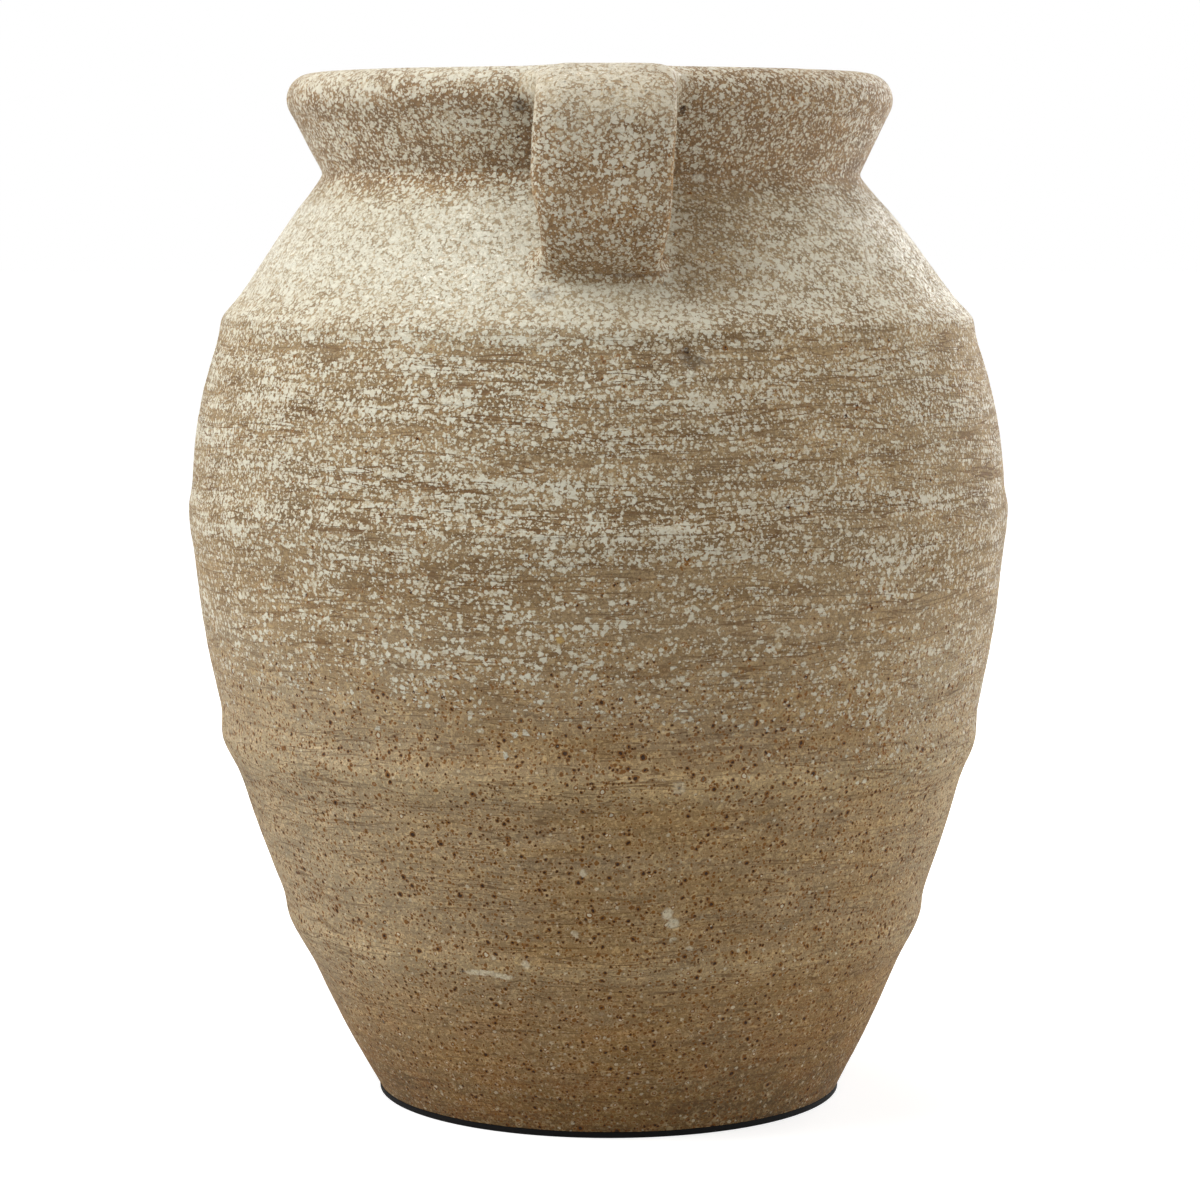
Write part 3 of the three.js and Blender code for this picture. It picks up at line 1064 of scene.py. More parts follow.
# %% Grain and shade
def grained(clay):
    pepper = ramp(noise(where, 0.62, 1, seed=25.0), 0.54, 0.68)
    return tinted(
        clay,
        ((1 - grain) * (0.3 - 0.08 * lower_share), deep_brown),
        (pepper * (0.22 + 0.2 * taupe_share), deep_brown),
        (ramp(grain, 0.7, 1.0) * 0.22 * lower_share, pale_khaki),
    )


def shaded(clay):
    """The clay made lighter or darker in streaks and patches, with painted shade at the foot and on the
    right.
    """
    streaks = centred(marks["Strokes"]) * 0.55 + centred(marks["Smears"]) * 0.8 * lower_share
    # Painted shade: darker near the table, together with a stain, and on the right side and rim
    foot_stain_and_shade = 1 - rise_over(pot_z, (0, 28))
    painted_shade_right = rise_over(pot_x, (-10, 60))
    painted_shade_right_front = band(pot_x, (10, 42), (72, 98)) * lower_share
    shade = 0.92 + grain * 0.18 + centred(mottle) * 0.45 + centred(patch) * 0.7
    shade = shade + streaks * level - foot_stain_and_shade * (0.24 + 0.12 * painted_shade_right)
    shade = shade - browner * 0.04 - rim_share * painted_shade_right * 0.07 - painted_shade_right_front * 0.07
    return mix_colour(fired_tree, 1.0, clay, join(fired_tree, shade, shade, shade), "MULTIPLY")


shaded_colour = tinted(shaded(grained(body_colour)), (hairlines * 0.65, deep_brown))
print("grain and shade in", len(fired_tree.nodes), "nodes so far")

# %% [markdown]
# Pale sand grains and iron specks are thickest on the bare lower wall, where no slip hides them.

# %% Sand and iron
sand_cell = 1.9
sand_place = shaken(where, 0.8, 0.7, seed=8.0)
sand_distance, (sand_chance, sand_size, sand_tone) = cells(sand_place, sand_cell, 91.0)
sand_there = ramp(0.22 * (0.3 + bare_share + foot_share) - sand_chance, -0.02, 0.02)
sand = ramp((0.1 + 0.25 * sand_size) - sand_distance, -0.05, 0.06) * sand_there
iron_amount = (0.12 + 0.72 * bare_share + centred(patch) * 1.1) * fired_in["Iron"]
iron = use_group(fired_tree, iron_tree, {"Vector": where, "Amount": iron_amount})
speckled_colour = tinted(
    shaded_colour,
    (sand * (0.35 + 0.45 * sand_tone), pale_grit),
    (iron["Halo"] * 0.5, pale_khaki),
    (iron["Rust"] * 0.92, rust),
    (iron["Core"] * 0.92, black_iron_and_shade),
    (iron["Blister"] * 0.9, pale_grit),
)
print("sand and iron in", len(fired_tree.nodes), "nodes so far")

# %% [markdown]
# Slip lies as a thin wash where much fell, and as the drops themselves. Where about half of a place
# is covered, the brush marks and clumps of the clay decide which half: bands catch slip, grooves and
# worn places don't. It also gives the surface its relief, and makes it smoother than the bare clay.


# %% Slip over the clay
def slip_amount():
    """Share of the surface under slip, broken up by the marks beneath it."""
    cover = fired_in["Cover"]
    half_covered = cover * (1 - cover) * 4
    banded = centred(marks["Bands"]) * (0.4 + 0.75 * below_shoulder * level)
    banded = banded + centred(marks["Strokes"]) * (0.3 + 0.8 * below_shoulder) * level
    uneven = half_covered * (centred(marks["Clumps"]) * 0.8 + banded + centred(patch) * 0.6)
    amount = (cover + uneven) * (1 - hairlines * 0.8)
    return amount * (1 - fired_in["Inside"]) * (1 - worn * 0.5)


wash = ramp(fired_in["Cover"] + centred(patch) * 0.5, 0.5, 1.05) * (1 - fired_in["Inside"])
drops = use_group(fired_tree, spatter_tree, {"Vector": where, "Cover": slip_amount()})
slip_tone = ramp(drops["Shade"] + centred(grain) * 0.5, 0.0, 0.7)
relief = drops["Mask"] * 0.35 + grain * (0.35 + 0.35 * bare_share) - iron["Core"] * 0.6
relief = relief - hairlines * 0.4 + sand * 0.25 + marks["Smears"] * 0.3 * level
give(fired_end, {
    "Color": tinted(
        speckled_colour,
        (wash * 0.75, thin_slip),
        # Dark ring round the drops: dark clay, and painted shadow at their edges
        (drops["Rim"] * 0.15, deep_brown),
        (drops["Mask"] * 0.9 * fired_in["Slip Strength"], tinted(thin_slip, (slip_tone, cream_slip))),
    ),
    "Roughness": 0.84 - drops["Mask"] * 0.24 - wash * 0.3 + centred(grain) * 0.3,
    "Height": relief,
})
print("fired clay group of", len(fired_tree.nodes), "nodes")

# %% [markdown]
# ## How much slip lies where
# Two curves say how much of the surface is under slip at each height, one for the walls and one
# for the handle. They are given point by point. The edge of the spatter wanders up and down, and more
# slip on the left of the upper belly and shoulder is a painted highlight.

# %% Curves of the slip
# Height in mm, share of the surface under slip
slip_on_walls = [
    (0, 0.0), (120, 0.0), (128, 0.03), (135, 0.07), (142, 0.16), (150, 0.28), (161, 0.39),
    (169, 0.33), (177, 0.36), (183, 0.53), (190, 0.54), (197, 0.5), (215, 0.52), (229, 0.52),
    (236, 0.49), (240, 0.54), (245, 0.66), (251, 0.75), (262, 0.85), (278, 0.84), (283, 0.6),
    (287, 0.37), (292, 0.42), (297, 0.5), (306, 0.5), (312, 0.52), (317, 0.72), (325, 0.8),
]
slip_on_handle = [
    (0, 0.0), (254, 0.05), (258, 0.16), (263, 0.36), (285, 0.42), (294, 0.5), (299, 0.6),
    (305, 0.7), (310, 0.76), (325, 0.82),
]
slip_on_lutings = [
    (0, 0.6), (262, 0.62), (268, 0.6), (276, 0.5), (300, 0.5), (307, 0.6), (313, 0.8), (325, 0.85),
]
curve_top = 325


def height_curve(height, points):
    """Reads a curve of the slip at a height."""
    node = height.tree.nodes.new("ShaderNodeFloatCurve")
    curve = node.mapping.curves[0]
    for x, y in points[1:-1]:
        curve.points.new(x / curve_top, y)
    curve.points[0].location = (0, points[0][1])
    curve.points[-1].location = (1, points[-1][1])
    for point in curve.points:
        point.handle_type = "VECTOR"
    node.mapping.update()
    feed(height.tree, node.inputs["Value"], height / (curve_top * MM))
    return Wire(height.tree, node.outputs[0])


print("curves of", len(slip_on_walls), "and", len(slip_on_handle), "points")

# %% [markdown]
# Four things change what the curves say: the side away from the spray got less, except on the
# shoulder crest, which keeps more as a painted highlight; more slip left of the middle is a painted
# highlight too; less slip and weaker drops right of the strap paint its cast shadow; and the lower
# edge wanders more than the upper ones.

# %% Cover group
edge_wave = 40
edge_wander = 12
low_edge = (140, 190)
low_edge_wander = 26
low_edge_drop = 0.2
shoulder_crest = ((241, 247), (250, 258))
# Share of the right side's slip loss given back on the shoulder crest, as a painted highlight
crest_highlight_share = 0.45
lee_side = (-30, 70)
lee_top = (242, 256)
lee_top_loss = 0.2
lee_cover_loss = 0.22
lee_strength_loss = 0.2
# Painted highlight: more slip on the upper belly and shoulder, left of the middle
highlight_left_of_middle = 26
highlight_half_width = (22, 70)
highlight_above = (215, 240)
highlight_gain = 0.06
# Painted cast shadow of the strap: less slip and weaker drops on the shoulder right of it
strap_shadow_band = ((16, 21), (27, 56))
front_only = (0, 40)
strap_top_end = (286, 296)
strap_low_end = (248, 262)
strap_shadow_cover_loss = 0.42
strap_shadow_strength_loss = 0.3
blur_above = (298, 310)


def cover_tree(name, points, strength=1.0, top_blur=0.0):
    """A group that gives the share of slip at a place, and how strongly its drops show."""
    outputs = {"Cover": ("Float",), "Strength": ("Float",)}
    tree, wires, end = new_tree(name, "ShaderNodeTree", {"Vector": ("Vector",)}, outputs)
    x, y, z = split(wires["Vector"])
    low = 1 - rise_over(z, low_edge)
    edge = centred(noise(wires["Vector"], edge_wave, 2, seed=31.0))
    edge = edge * (edge_wander + low_edge_wander * low) * MM
    edge = edge + x.at_least(0) * low_edge_drop * low
    crest = band(z, *shoulder_crest)
    lee = rise_over(x, lee_side) * (1 - lee_top_loss * rise_over(z, lee_top))
    # Painted highlight: on the shoulder crest the right side loses less slip
    lee = lee * (1 - crest_highlight_share * crest)
    # Painted highlight: more slip left of the middle of the upper belly and shoulder
    painted_highlight = 1 - rise_over((x + highlight_left_of_middle * MM).math("ABSOLUTE"), highlight_half_width)
    painted_highlight = painted_highlight * rise_over(z, highlight_above)
    # Painted cast shadow of the strap, on the shoulder to its right
    strap_shadow = band(x, *strap_shadow_band) * rise_over(y * -1, front_only)
    strap_shadow = strap_shadow * rise_over(z, strap_low_end) * (1 - rise_over(z, strap_top_end))
    cover = height_curve(z + edge, points) * (1 - lee_cover_loss * lee) + painted_highlight * highlight_gain
    shown = (1 - lee_strength_loss * lee) * (1 - top_blur * rise_over(z, blur_above))
    give(end, {
        "Cover": cover * (1 - strap_shadow_cover_loss * strap_shadow),
        "Strength": shown * (1 - strap_shadow_strength_loss * strap_shadow) * strength,
    })
    return tree


wall_cover = cover_tree("slip on the walls", slip_on_walls, top_blur=0.12)
handle_cover = cover_tree("slip on the handle", slip_on_handle, 0.86, 0.2)
luting_cover = cover_tree("slip on the lutings", slip_on_lutings, 0.92, 0.25)
print("three cover groups")

# %% [markdown]
# ## Marks that make it this pot
# A potter would know this pot by its few accidents: a sooty smudge over a pit, blobs and a scratch
# of pale slip low down, a white line in the neck. A few more marks are painted shade: a hollow and a
# slit beside the top of the strap, and a shadow and a crease under its foot. Each has an angle to
# the right of the handle and a height, and the material tints the clay within a ragged spot there.

# %% Single marks group
single_marks = {
    # angle, height, half width and half height in mm, colour, strength
    "brown ring round the pit": (12.0, 238.0, 2.7, 2.4, deep_brown, 0.5),
    "smudge round the pit": (13.1, 236.0, 3.3, 2.4, soot_grey, 0.7),
    "purple end of the smudge": (15.2, 235.2, 1.5, 1.2, ash_grey, 0.45),
    "pit": (12.4, 238.8, 0.9, 0.9, black_iron_and_shade, 0.95),
    "drop under the pit": (12.6, 232.4, 1.7, 1.2, cream_slip, 0.8),
    "second drop under the pit": (10.5, 229.8, 1.6, 1.2, cream_slip, 0.7),
    # Painted shadow under the left corner of the strap's foot
    "painted shadow under the strap's foot": (-8.0, 254.6, 4.0, 2.4, ash_grey, 0.4),
    "blob, upper half": (10.2, 74.5, 1.8, 2.0, pale_grit, 0.95),
    "blob, lower half": (11.3, 71.4, 1.8, 2.0, pale_grit, 0.95),
    "dark dot in the blob": (9.8, 75.0, 0.4, 0.4, deep_brown, 0.8),
    "grain under the blob": (11.2, 66.2, 0.8, 0.9, pale_grit, 0.8),
    "second grain under the blob": (14.3, 63.3, 1.0, 0.7, pale_grit, 0.6),
    "pale scratch": (-21.5, 54.6, 5.6, 0.95, pale_grit, 0.95),
    "end of the scratch": (-17.6, 53.8, 3.2, 0.9, pale_grit, 0.95),
    "blob on the ridge": (11.0, 113.6, 2.0, 2.2, pale_grit, 0.5),
    "first grain of sand": (-3.0, 87.6, 1.2, 1.2, pale_grit, 0.8),
    "second grain of sand": (-4.8, 68.5, 1.2, 1.2, pale_grit, 0.8),
    "third grain of sand": (-13.3, 58.2, 1.4, 1.4, pale_grit, 0.85),
    "white line in the neck": (54.5, 285.2, 6.5, 0.7, cream_slip, 0.6),
    "blob in the neck": (21.8, 287.6, 2.1, 1.3, cream_slip, 0.7),
    "yellow grain": (-5.1, 157.3, 1.2, 1.1, yellow_grain, 0.85),
    # Painted shade: the hollow and slit where the strap leaves the lip are painted dark
    "painted shade in the hollow left of the strap": (-12.4, 308.4, 2.2, 2.0, black_iron_and_shade, 0.65),
    "painted shade in the slit right of the strap": (16.8, 307.4, 1.0, 3.4, black_iron_and_shade, 0.9),
    # Painted shadow along the crease under the strap's foot
    "painted shadow in the crease under the strap": (5.6, 260.5, 11.0, 1.2, deep_brown, 0.6),
}
accident_tree, accident_in, accident_end = new_tree(
    "single marks", "ShaderNodeTree",
    {"Vector": ("Vector",), "Color": ("Color",)},
    {"Color": ("Color",)})

# How large the lumps are that shake an outline, how far they shake it in mm, seed
wide_shake = (1.9, 1.5, 41.0)
fine_shake = (0.7, 0.7, 43.0)
mark_edge = (0.65, 1.25)
least_tint = 0.55
tint_lumps = 0.9
tint_edge = (0.4, 0.55)


def build_single_marks():
    where = accident_in["Vector"]
    shift = (wide_shake[1] + fine_shake[1]) / 2
    broken = least_tint + (1 - least_tint) * ramp(noise(where, tint_lumps, 1, seed=44.0), *tint_edge)
    shaken_place = shaken(shaken(where, *wide_shake), *fine_shake)
    colour = accident_in["Color"]
    for angle, height, half_width, half_height, tint, strength in single_marks.values():
        middle = on_wall(angle, height) + Vector((shift,) * 3) * MM
        scale = Vector((1 / half_width, 1 / half_width, 1 / half_height)) / MM
        offset = Vector([-a * b for a, b in zip(middle, scale)])
        from_mark = vector_math("MULTIPLY_ADD", shaken_place, tuple(scale), tuple(offset))
        share = (1 - ramp(vector_math("LENGTH", from_mark), *mark_edge)) * broken * strength
        colour = mix_colour(accident_tree, share, colour, tint)
    give(accident_end, {"Color": colour})


build_single_marks()
print(len(single_marks), "single marks")

# %% [markdown]
# ## One material for each finish
# Each material holds its own shader and gives the groups its own values. Gloss is low: this is
# unglazed clay, with a faint sheen where the slip runs together. The gloss is one plain number on
# the shader's own socket, because an exported model keeps that and loses a linked one.

# %% Clay materials
relief_depth = 0.4
clay_dust = 0.04
clay_dust_spread = 0.45
clay_dust_colour = srgb("e8dacb")


def clay_material(name, gloss, cover=None, iron=1.0, level=1.0, marked=False):
    material = bpy.data.materials.new(name)
    material.use_nodes = True
    tree = material.node_tree
    shader = tree.nodes["Principled BSDF"]
    where = place(tree, "ShaderNodeTexCoord", output="Object")
    slip = use_group(tree, cover, {"Vector": where}) if cover else {"Cover": 0.0, "Strength": 1.0}
    values = {"Vector": where, "Iron": iron, "Level": level}
    values.update({"Cover": slip["Cover"], "Slip Strength": slip["Strength"]})
    for label in ("Inside", "Ridge", "Worn"):
        values[label] = place(tree, "ShaderNodeAttribute", output="Fac", attribute_name=label.lower())
    fired = use_group(tree, fired_tree, values)
    colour = fired["Color"]
    if marked:
        colour = use_group(tree, accident_tree, {"Vector": where, "Color": colour})["Color"]
    bump = {"Height": fired["Height"], "Strength": 1.0, "Distance": relief_depth * MM}
    sockets = {
        "Base Color": colour,
        "Roughness": fired["Roughness"],
        "Normal": place(tree, "ShaderNodeBump", bump, "Normal"),
        "Specular IOR Level": gloss,
        "Sheen Weight": clay_dust,
        "Sheen Roughness": clay_dust_spread,
        "Sheen Tint": clay_dust_colour,
    }
    for label, value in sockets.items():
        feed(tree, shader.inputs[label], value)
    return material


spattered_top = clay_material("lime_spattered_clay", 0.5, wall_cover, marked=True)
spattered_belly = clay_material("spattered_clay", 0.35, wall_cover, marked=True)
bare_lower = clay_material("bare_clay", 0.25, wall_cover, marked=True)
luting_clay = clay_material("luting_clay", 0.4, luting_cover, level=0.15, marked=True)
inside_clay = clay_material("inside_clay", 0.2, iron=0.5)
print("clay materials:", [m.name for m in bpy.data.materials])

# %% [markdown]
# ## Turn the six sections
# All six walls come out of the same tree. The rim alone gets a spout.

# %% Wall sections
section_clay = (bare_lower,) * 2 + (spattered_belly,) * 2 + (spattered_top,) * 2
spout_reach = 9
walls = {}
for number, name in enumerate(section_names):
    points, kinds, looks = section_profile(number)
    values = {
        "Clay": section_clay[number],
        "Spout Reach": float(spout_reach if name == "rim_section" else 0),
        "Spout From": float(neck_height + lap_height),
        "Spout Rise": float(rim_top - neck_height - lap_height),
        "Widest": float(max(join_radii)),
    }
    piece = run_tree(name + "_turned", profile_mesh(name, points, kinds, looks), turned_tree, values)
    walls[name] = piece
    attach(piece, "root")
    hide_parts(name)
    print(piece.name, len(piece.data.polygons) * 2, "triangles")

# %% [markdown]
# ## Pad, floor and coil
# These three are turned as well. The pad is a disc of black foam glued under the foot. The floor is
# a slab of clay with a spiral left by a finger, and a coil is worked into the corner around it.

# %% Pad material
foam_cell = 0.5
pad_dust_size = 5
pad_relief = 0.12
pad_gloss = 0.12
pad_material = bpy.data.materials.new("pad_rubber")
pad_material.use_nodes = True


def build_pad_material():
    """Foam rubber: black, matt, with fine open cells and a little grey dust."""
    tree = pad_material.node_tree
    shader = tree.nodes["Principled BSDF"]
    where = place(tree, "ShaderNodeTexCoord", output="Object")
    foam = place(tree, "ShaderNodeTexVoronoi", {"Vector": where, "Scale": 1 / (foam_cell * MM)})
    dusty = noise(where, pad_dust_size, 3)
    black = mix_colour(tree, ramp(dusty, 0.5, 0.8) * 0.35, srgb("0c0b0b"), srgb("2a2724"))
    bump = {"Height": foam, "Strength": 0.5, "Distance": pad_relief * MM}
    colour = mix_colour(tree, ramp(foam, 0.3, 0.6), black, srgb("121111"))
    feed(tree, shader.inputs["Base Color"], colour)
    feed(tree, shader.inputs["Specular IOR Level"], pad_gloss)
    feed(tree, shader.inputs["Roughness"], 0.78 + dusty * 0.15)
    feed(tree, shader.inputs["Normal"], place(tree, "ShaderNodeBump", bump, "Normal"))


build_pad_material()
print("pad material of", len(pad_material.node_tree.nodes), "nodes")

# %% [markdown]
# The line of each of these discs starts and ends at the axis, so the turned mesh closes by itself.
# The pad's outer edge is rounded, because foam that is cut and pressed has no sharp edge.

# %% Pad
disc_columns = 256
disc_row = 1.5
edge_angles = np.linspace(-math.pi / 2, math.pi / 2, 9)
pad_rounding = 0.5
pad_bulge = 1.2
pad_rows = range(12, 70, 12)


def turned_disc(name, points, kind, look, clay, row=disc_row):
    """A turned piece that isn't a wall: its points all share one kind and one direction."""
    points = even_line(np.array(points, float), row) if row else np.array(points, float)
    closed = points[0][0] > 0
    if closed:
        points = points[:-1]
    kinds = np.full(len(points), kind)
    looks = np.tile(np.array(look, float), (len(points), 1))
    mesh = profile_mesh(name, points, kinds, looks, closed)
    piece = run_tree(name + "_turned", mesh, turned_tree, {"Clay": clay, "Columns": disc_columns})
    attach(piece, "root")
    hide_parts(name)
    print(piece.name, len(piece.data.polygons), "faces")


def round_edge(radius, low, high, softness):
    """The outer edge of a disc, rounded top and bottom."""
    middle = radius - softness
    centres = [low + softness if angle < 0 else high - softness for angle in edge_angles]
    return [(middle + softness * math.cos(angle), centre + softness * math.sin(angle))
            for angle, centre in zip(edge_angles, centres)]


pad_low, pad_high = (corner.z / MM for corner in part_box("base_pad"))
pad_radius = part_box("base_pad")[1].y / MM + pad_bulge
pad_line = [(0, pad_low), *[(r, pad_low) for r in pad_rows]]
pad_line += round_edge(pad_radius, pad_low, pad_high, pad_rounding)
pad_line += [*[(r, pad_high) for r in reversed(pad_rows)], (0, pad_high)]
turned_disc("base_pad", pad_line, 0, (0, 0), pad_material, row=None)

# %% [markdown]
# The slab has the size of the clay disc in the frame. Its upper face counts as inside, which gives
# it the spiral of the finger.

# %% Slab
slab_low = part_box("floor_slab")[0].z / MM
slab_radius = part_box("floor_slab")[1].y / MM
slab_line = [(0, slab_low), (slab_radius, slab_low), (slab_radius, floor_top), (0, floor_top)]
turned_disc("floor_slab", slab_line, -1, (0, 1), inside_clay)

# %% [markdown]
# The coil is a ring of clay with two flat sides, where it is pressed on to the floor and the wall, and
# a hollow third side, where a finger has stroked it smooth.

# %% Coil
coil_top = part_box("floor_coil")[1].z / MM
coil_size = coil_top - floor_top
coil_edge = 1.3
coil_out = [inner_radius(z) - fit_gap * math.sqrt(2) for z in (floor_top, coil_top)]
coil_face = np.array([
    (coil_out[1] - coil_edge, coil_top),
    (coil_out[0] - coil_edge, floor_top + 2 * coil_edge),
    (coil_out[0] - coil_size, floor_top + coil_edge),
])


def bow(start, pull, end, count):
    """A curve of one bend from start to end, pulled towards a third point."""
    t = np.linspace(0, 1, count)[:, None]
    return (1 - t) ** 2 * start + 2 * t * (1 - t) * pull + t * t * end


coil_start = (coil_out[0] - coil_size, floor_top)
coil_line = [coil_start, (coil_out[0], floor_top), (coil_out[1], coil_top)]
coil_line += [*bow(*coil_face, 10), coil_start]
turned_disc("floor_coil", coil_line, 0, (0, 0), inside_clay)

# %% [markdown]
# ## Pull the strap
# A strap is pulled by a wet hand, so it is a long flat bar with soft edges and faint grooves along
# it. It runs out over the lip, bends down and comes back to the shoulder. Its middle line is made
# of straight pieces, one round bend and one curve, and a rounded outline is set along it.

# %% Middle line of the strap
strap_width = 41.7
strap_thickness = 12
strap_bend = 14
strap_drop = 10
strap_foot_depth = 25.3
strap_bury = 4
strap_row = 0.8
bend_points = 24
strap_inner_end = 84
strap_dive = 2.8
dive_start_pull = (4, 0.6)
dive_end_pull = 8
dive_length = 12
strap_out = -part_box("handle_strap")[0].y / MM - strap_thickness / 2
strap_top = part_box("handle_strap")[1].z / MM - strap_thickness / 2


def bezier(start, start_pull, end_pull, end, count=30):
    """A curve from start to end that leaves and arrives along its two pulls."""
    t = np.linspace(0, 1, count)[:, None]
    points = [np.array(p, float) for p in (start, start_pull, end_pull, end)]
    weights = ((1 - t) ** 3, 3 * t * (1 - t) ** 2, 3 * t * t * (1 - t), t ** 3)
    return sum(w * p for w, p in zip(weights, points))


def strap_line():
    """Middle of the strap as (distance out, height), from inside the lip to inside the shoulder."""
    start = (strap_inner_end, strap_top - strap_dive)
    start_pull = (start[0] + dive_start_pull[0], start[1] + dive_start_pull[1])
    end_pull, end = [(strap_inner_end + far, strap_top) for far in (dive_end_pull, dive_length)]
    dive = bezier(start, start_pull, end_pull, end)
    bend_at = (strap_out - strap_bend, strap_top - strap_bend)
    turns = np.linspace(math.pi / 2, 0, bend_points)
    bend = bend_at + strap_bend * np.stack([np.cos(turns), np.sin(turns)], 1)

    # The last part meets the shoulder squarely
    foot_height = neck_height - strap_foot_depth
    slope = (outside_at(foot_height + 1) - outside_at(foot_height - 1)) / 2
    square = np.array([1, -slope]) / math.hypot(1, slope)
    seat = np.array([outside_at(foot_height), foot_height])
    low = np.array([strap_out, bend_at[1] - strap_drop])
    sweep = math.dist(low, seat) / 2
    fall = bezier(low, low - (0, sweep), seat + square * sweep, seat - square * strap_bury)
    return even_line(np.concatenate([dive, bend, fall]), strap_row)


print("strap of", len(strap_line()), "rows")

# %% [markdown]
# Across, the strap is a rounded bar. Python's own noise can be read at any point, so it makes the
# grooves, lumps and nicks here, where no node tree is at work.

# %% Outline and marks of the strap
strap_side_round = 0.45
strap_face_round = 0.62
strap_columns = 112
round_points = 800
never_short = 0.9999
seed_step = 17.3
groove_size = (7, 7, 60)
groove_depth, groove_middle = 0.3, 0.7
lump_on_strap = (16, 16, 16)
lump_depth, lump_middle = 0.4, 0.5
nick_size = (30, 30, 14)
nick_depth, nick_middle = 0.7, 0.4


def strap_outline():
    """Rounded outline across the strap, as (across, deep) in mm, with its outward directions."""
    angles = np.linspace(0, 2 * math.pi, round_points)
    across = np.sign(np.cos(angles)) * np.abs(np.cos(angles)) ** strap_side_round
    deep = np.sign(np.sin(angles)) * np.abs(np.sin(angles)) ** strap_face_round
    line = np.stack([across * strap_width / 2, deep * strap_thickness / 2], 1)
    length = np.hypot(*np.diff(line, axis=0).T).sum()
    line = even_line(line, length / strap_columns * never_short)[:-1]
    ahead = np.roll(line, -1, 0) - np.roll(line, 1, 0)
    return line, np.stack([ahead[:, 1], -ahead[:, 0]], 1) / np.hypot(*ahead.T)[:, None]


def lumps_at(point, size, seed):
    """Smooth noise from -1 to 1 at a point in millimetres."""
    x, y, z = (value / lump for value, lump in zip(point, size))
    return mathutils.noise.noise(Vector((x, y, z + seed * seed_step)))


def strap_marks(point, on_strap, sideways):
    """How far out the strap's skin stands at a point. Its sides have nicks as well."""
    groove = lumps_at(on_strap, groove_size, 1)
    lump = lumps_at(point, lump_on_strap, 2)
    nick = lumps_at(on_strap, nick_size, 3) * sideways
    out = groove_depth * (groove - groove_middle) + lump_depth * (lump - lump_middle)
    return out + nick_depth * (nick - nick_middle) * sideways


print("strap marks ready")

# %% [markdown]
# Now the outline is set along the middle line, row by row. The strap narrows towards its foot and
# wanders sideways a little. Its sides are worn pale where fingers rub, below the lip.

# %% Rows of the strap
strap_foot_width = 35
strap_top_offset = 5.7
strap_foot_offset = 2.2
strap_narrows_from = 0.55
strap_narrows_over = 0.45
wear_below = 306
wear_fades_over = 10
wear_from_side = 0.25
left_wear = 0.7


def strap_rings():
    """Points, outward directions and wear of the strap, by row and by column, in millimetres."""
    middle = strap_line()
    ahead = np.gradient(middle, axis=0)
    ahead /= np.hypot(*ahead.T)[:, None]
    outline_across, look = strap_outline()
    rings = np.zeros((len(middle), len(outline_across), 3))
    looks = np.zeros_like(rings)
    wear = np.zeros(rings.shape[:2])
    for row, (place_on_line, along) in enumerate(zip(middle, ahead)):
        share = row / (len(middle) - 1)
        narrow = np.clip((share - strap_narrows_from) / strap_narrows_over, 0, 1)
        width = strap_width + (strap_foot_width - strap_width) * narrow * narrow * (3 - 2 * narrow)
        offset = strap_top_offset + (strap_foot_offset - strap_top_offset) * share
        side = np.array([1, 0, 0])
        face = np.array([0, along[1], along[0]])
        centre = np.array([offset + drift_at(place_on_line[1]), -place_on_line[0], place_on_line[1]])
        for column, ((across, deep), (look_across, look_deep)) in enumerate(zip(outline_across, look)):
            point = centre + side * across * width / strap_width + face * deep
            direction = side * look_across + face * look_deep
            sideways = abs(look_across)
            out = strap_marks(point, (across, deep, row * strap_row), sideways)
            rings[row, column] = point + direction * out
            looks[row, column] = direction
            low_enough = np.clip((wear_below - point[2]) / wear_fades_over, 0, 1)
            side_wear = left_wear if across < 0 else 1
            wear[row, column] = (sideways - wear_from_side) * side_wear * low_enough
    return rings, looks, wear


print("rows ready")

# %% [markdown]
# The rows become a mesh: four-sided faces between them, and one face to close each end. A Bmesh call
# turns all faces outwards, whichever way round the rows run.


# %% Strap
def mesh_piece(name, points, faces, clay, slot, *nodes):
    """A piece from points in millimetres and faces, with its faces turned outwards."""
    mesh = bpy.data.meshes.new(name)
    mesh.from_pydata([tuple(np.array(p) * MM) for p in points], [], faces)
    mesh.validate()
    edit = bmesh.new()
    edit.from_mesh(mesh)
    bmesh.ops.recalc_face_normals(edit, faces=edit.faces)
    if edit.calc_volume(signed=True) < 0:
        bmesh.ops.reverse_faces(edit, faces=edit.faces)
    edit.to_mesh(mesh)
    edit.free()
    mesh.shade_smooth()
    mesh.materials.append(clay)
    piece = link(bpy.data.objects.new(name, mesh))
    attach(piece, "root")
    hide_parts(*nodes)
    print(name, len(faces), "faces")
    return piece


def grid_faces(rows, columns, closed_rows=False):
    """Quads of a sheet whose columns close into a ring, and whose rows may close as well."""
    last = rows if closed_rows else rows - 1
    return [(r * columns + c, r * columns + (c + 1) % columns,
             (r + 1) % rows * columns + (c + 1) % columns, (r + 1) % rows * columns + c)
            for r in range(last) for c in range(columns)]


handle_clay = clay_material("handle_clay", 0.4, handle_cover, level=0.15, iron=2.0)
rings, ring_looks, strap_wear = strap_rings()
last_row = (len(rings) - 1) * strap_columns
ends = [tuple(range(strap_columns)), tuple(range(last_row, last_row + strap_columns))]
strap_faces = grid_faces(*rings.shape[:2]) + ends
strap = mesh_piece(
    "handle_strap_pulled", rings.reshape(-1, 3), strap_faces,
    handle_clay, "lime_spattered_clay", "handle_strap")
worn_attribute = strap.data.attributes.new("worn", "FLOAT", "POINT")
worn_attribute.data.foreach_set("value", strap_wear.reshape(-1).astype(np.float32))

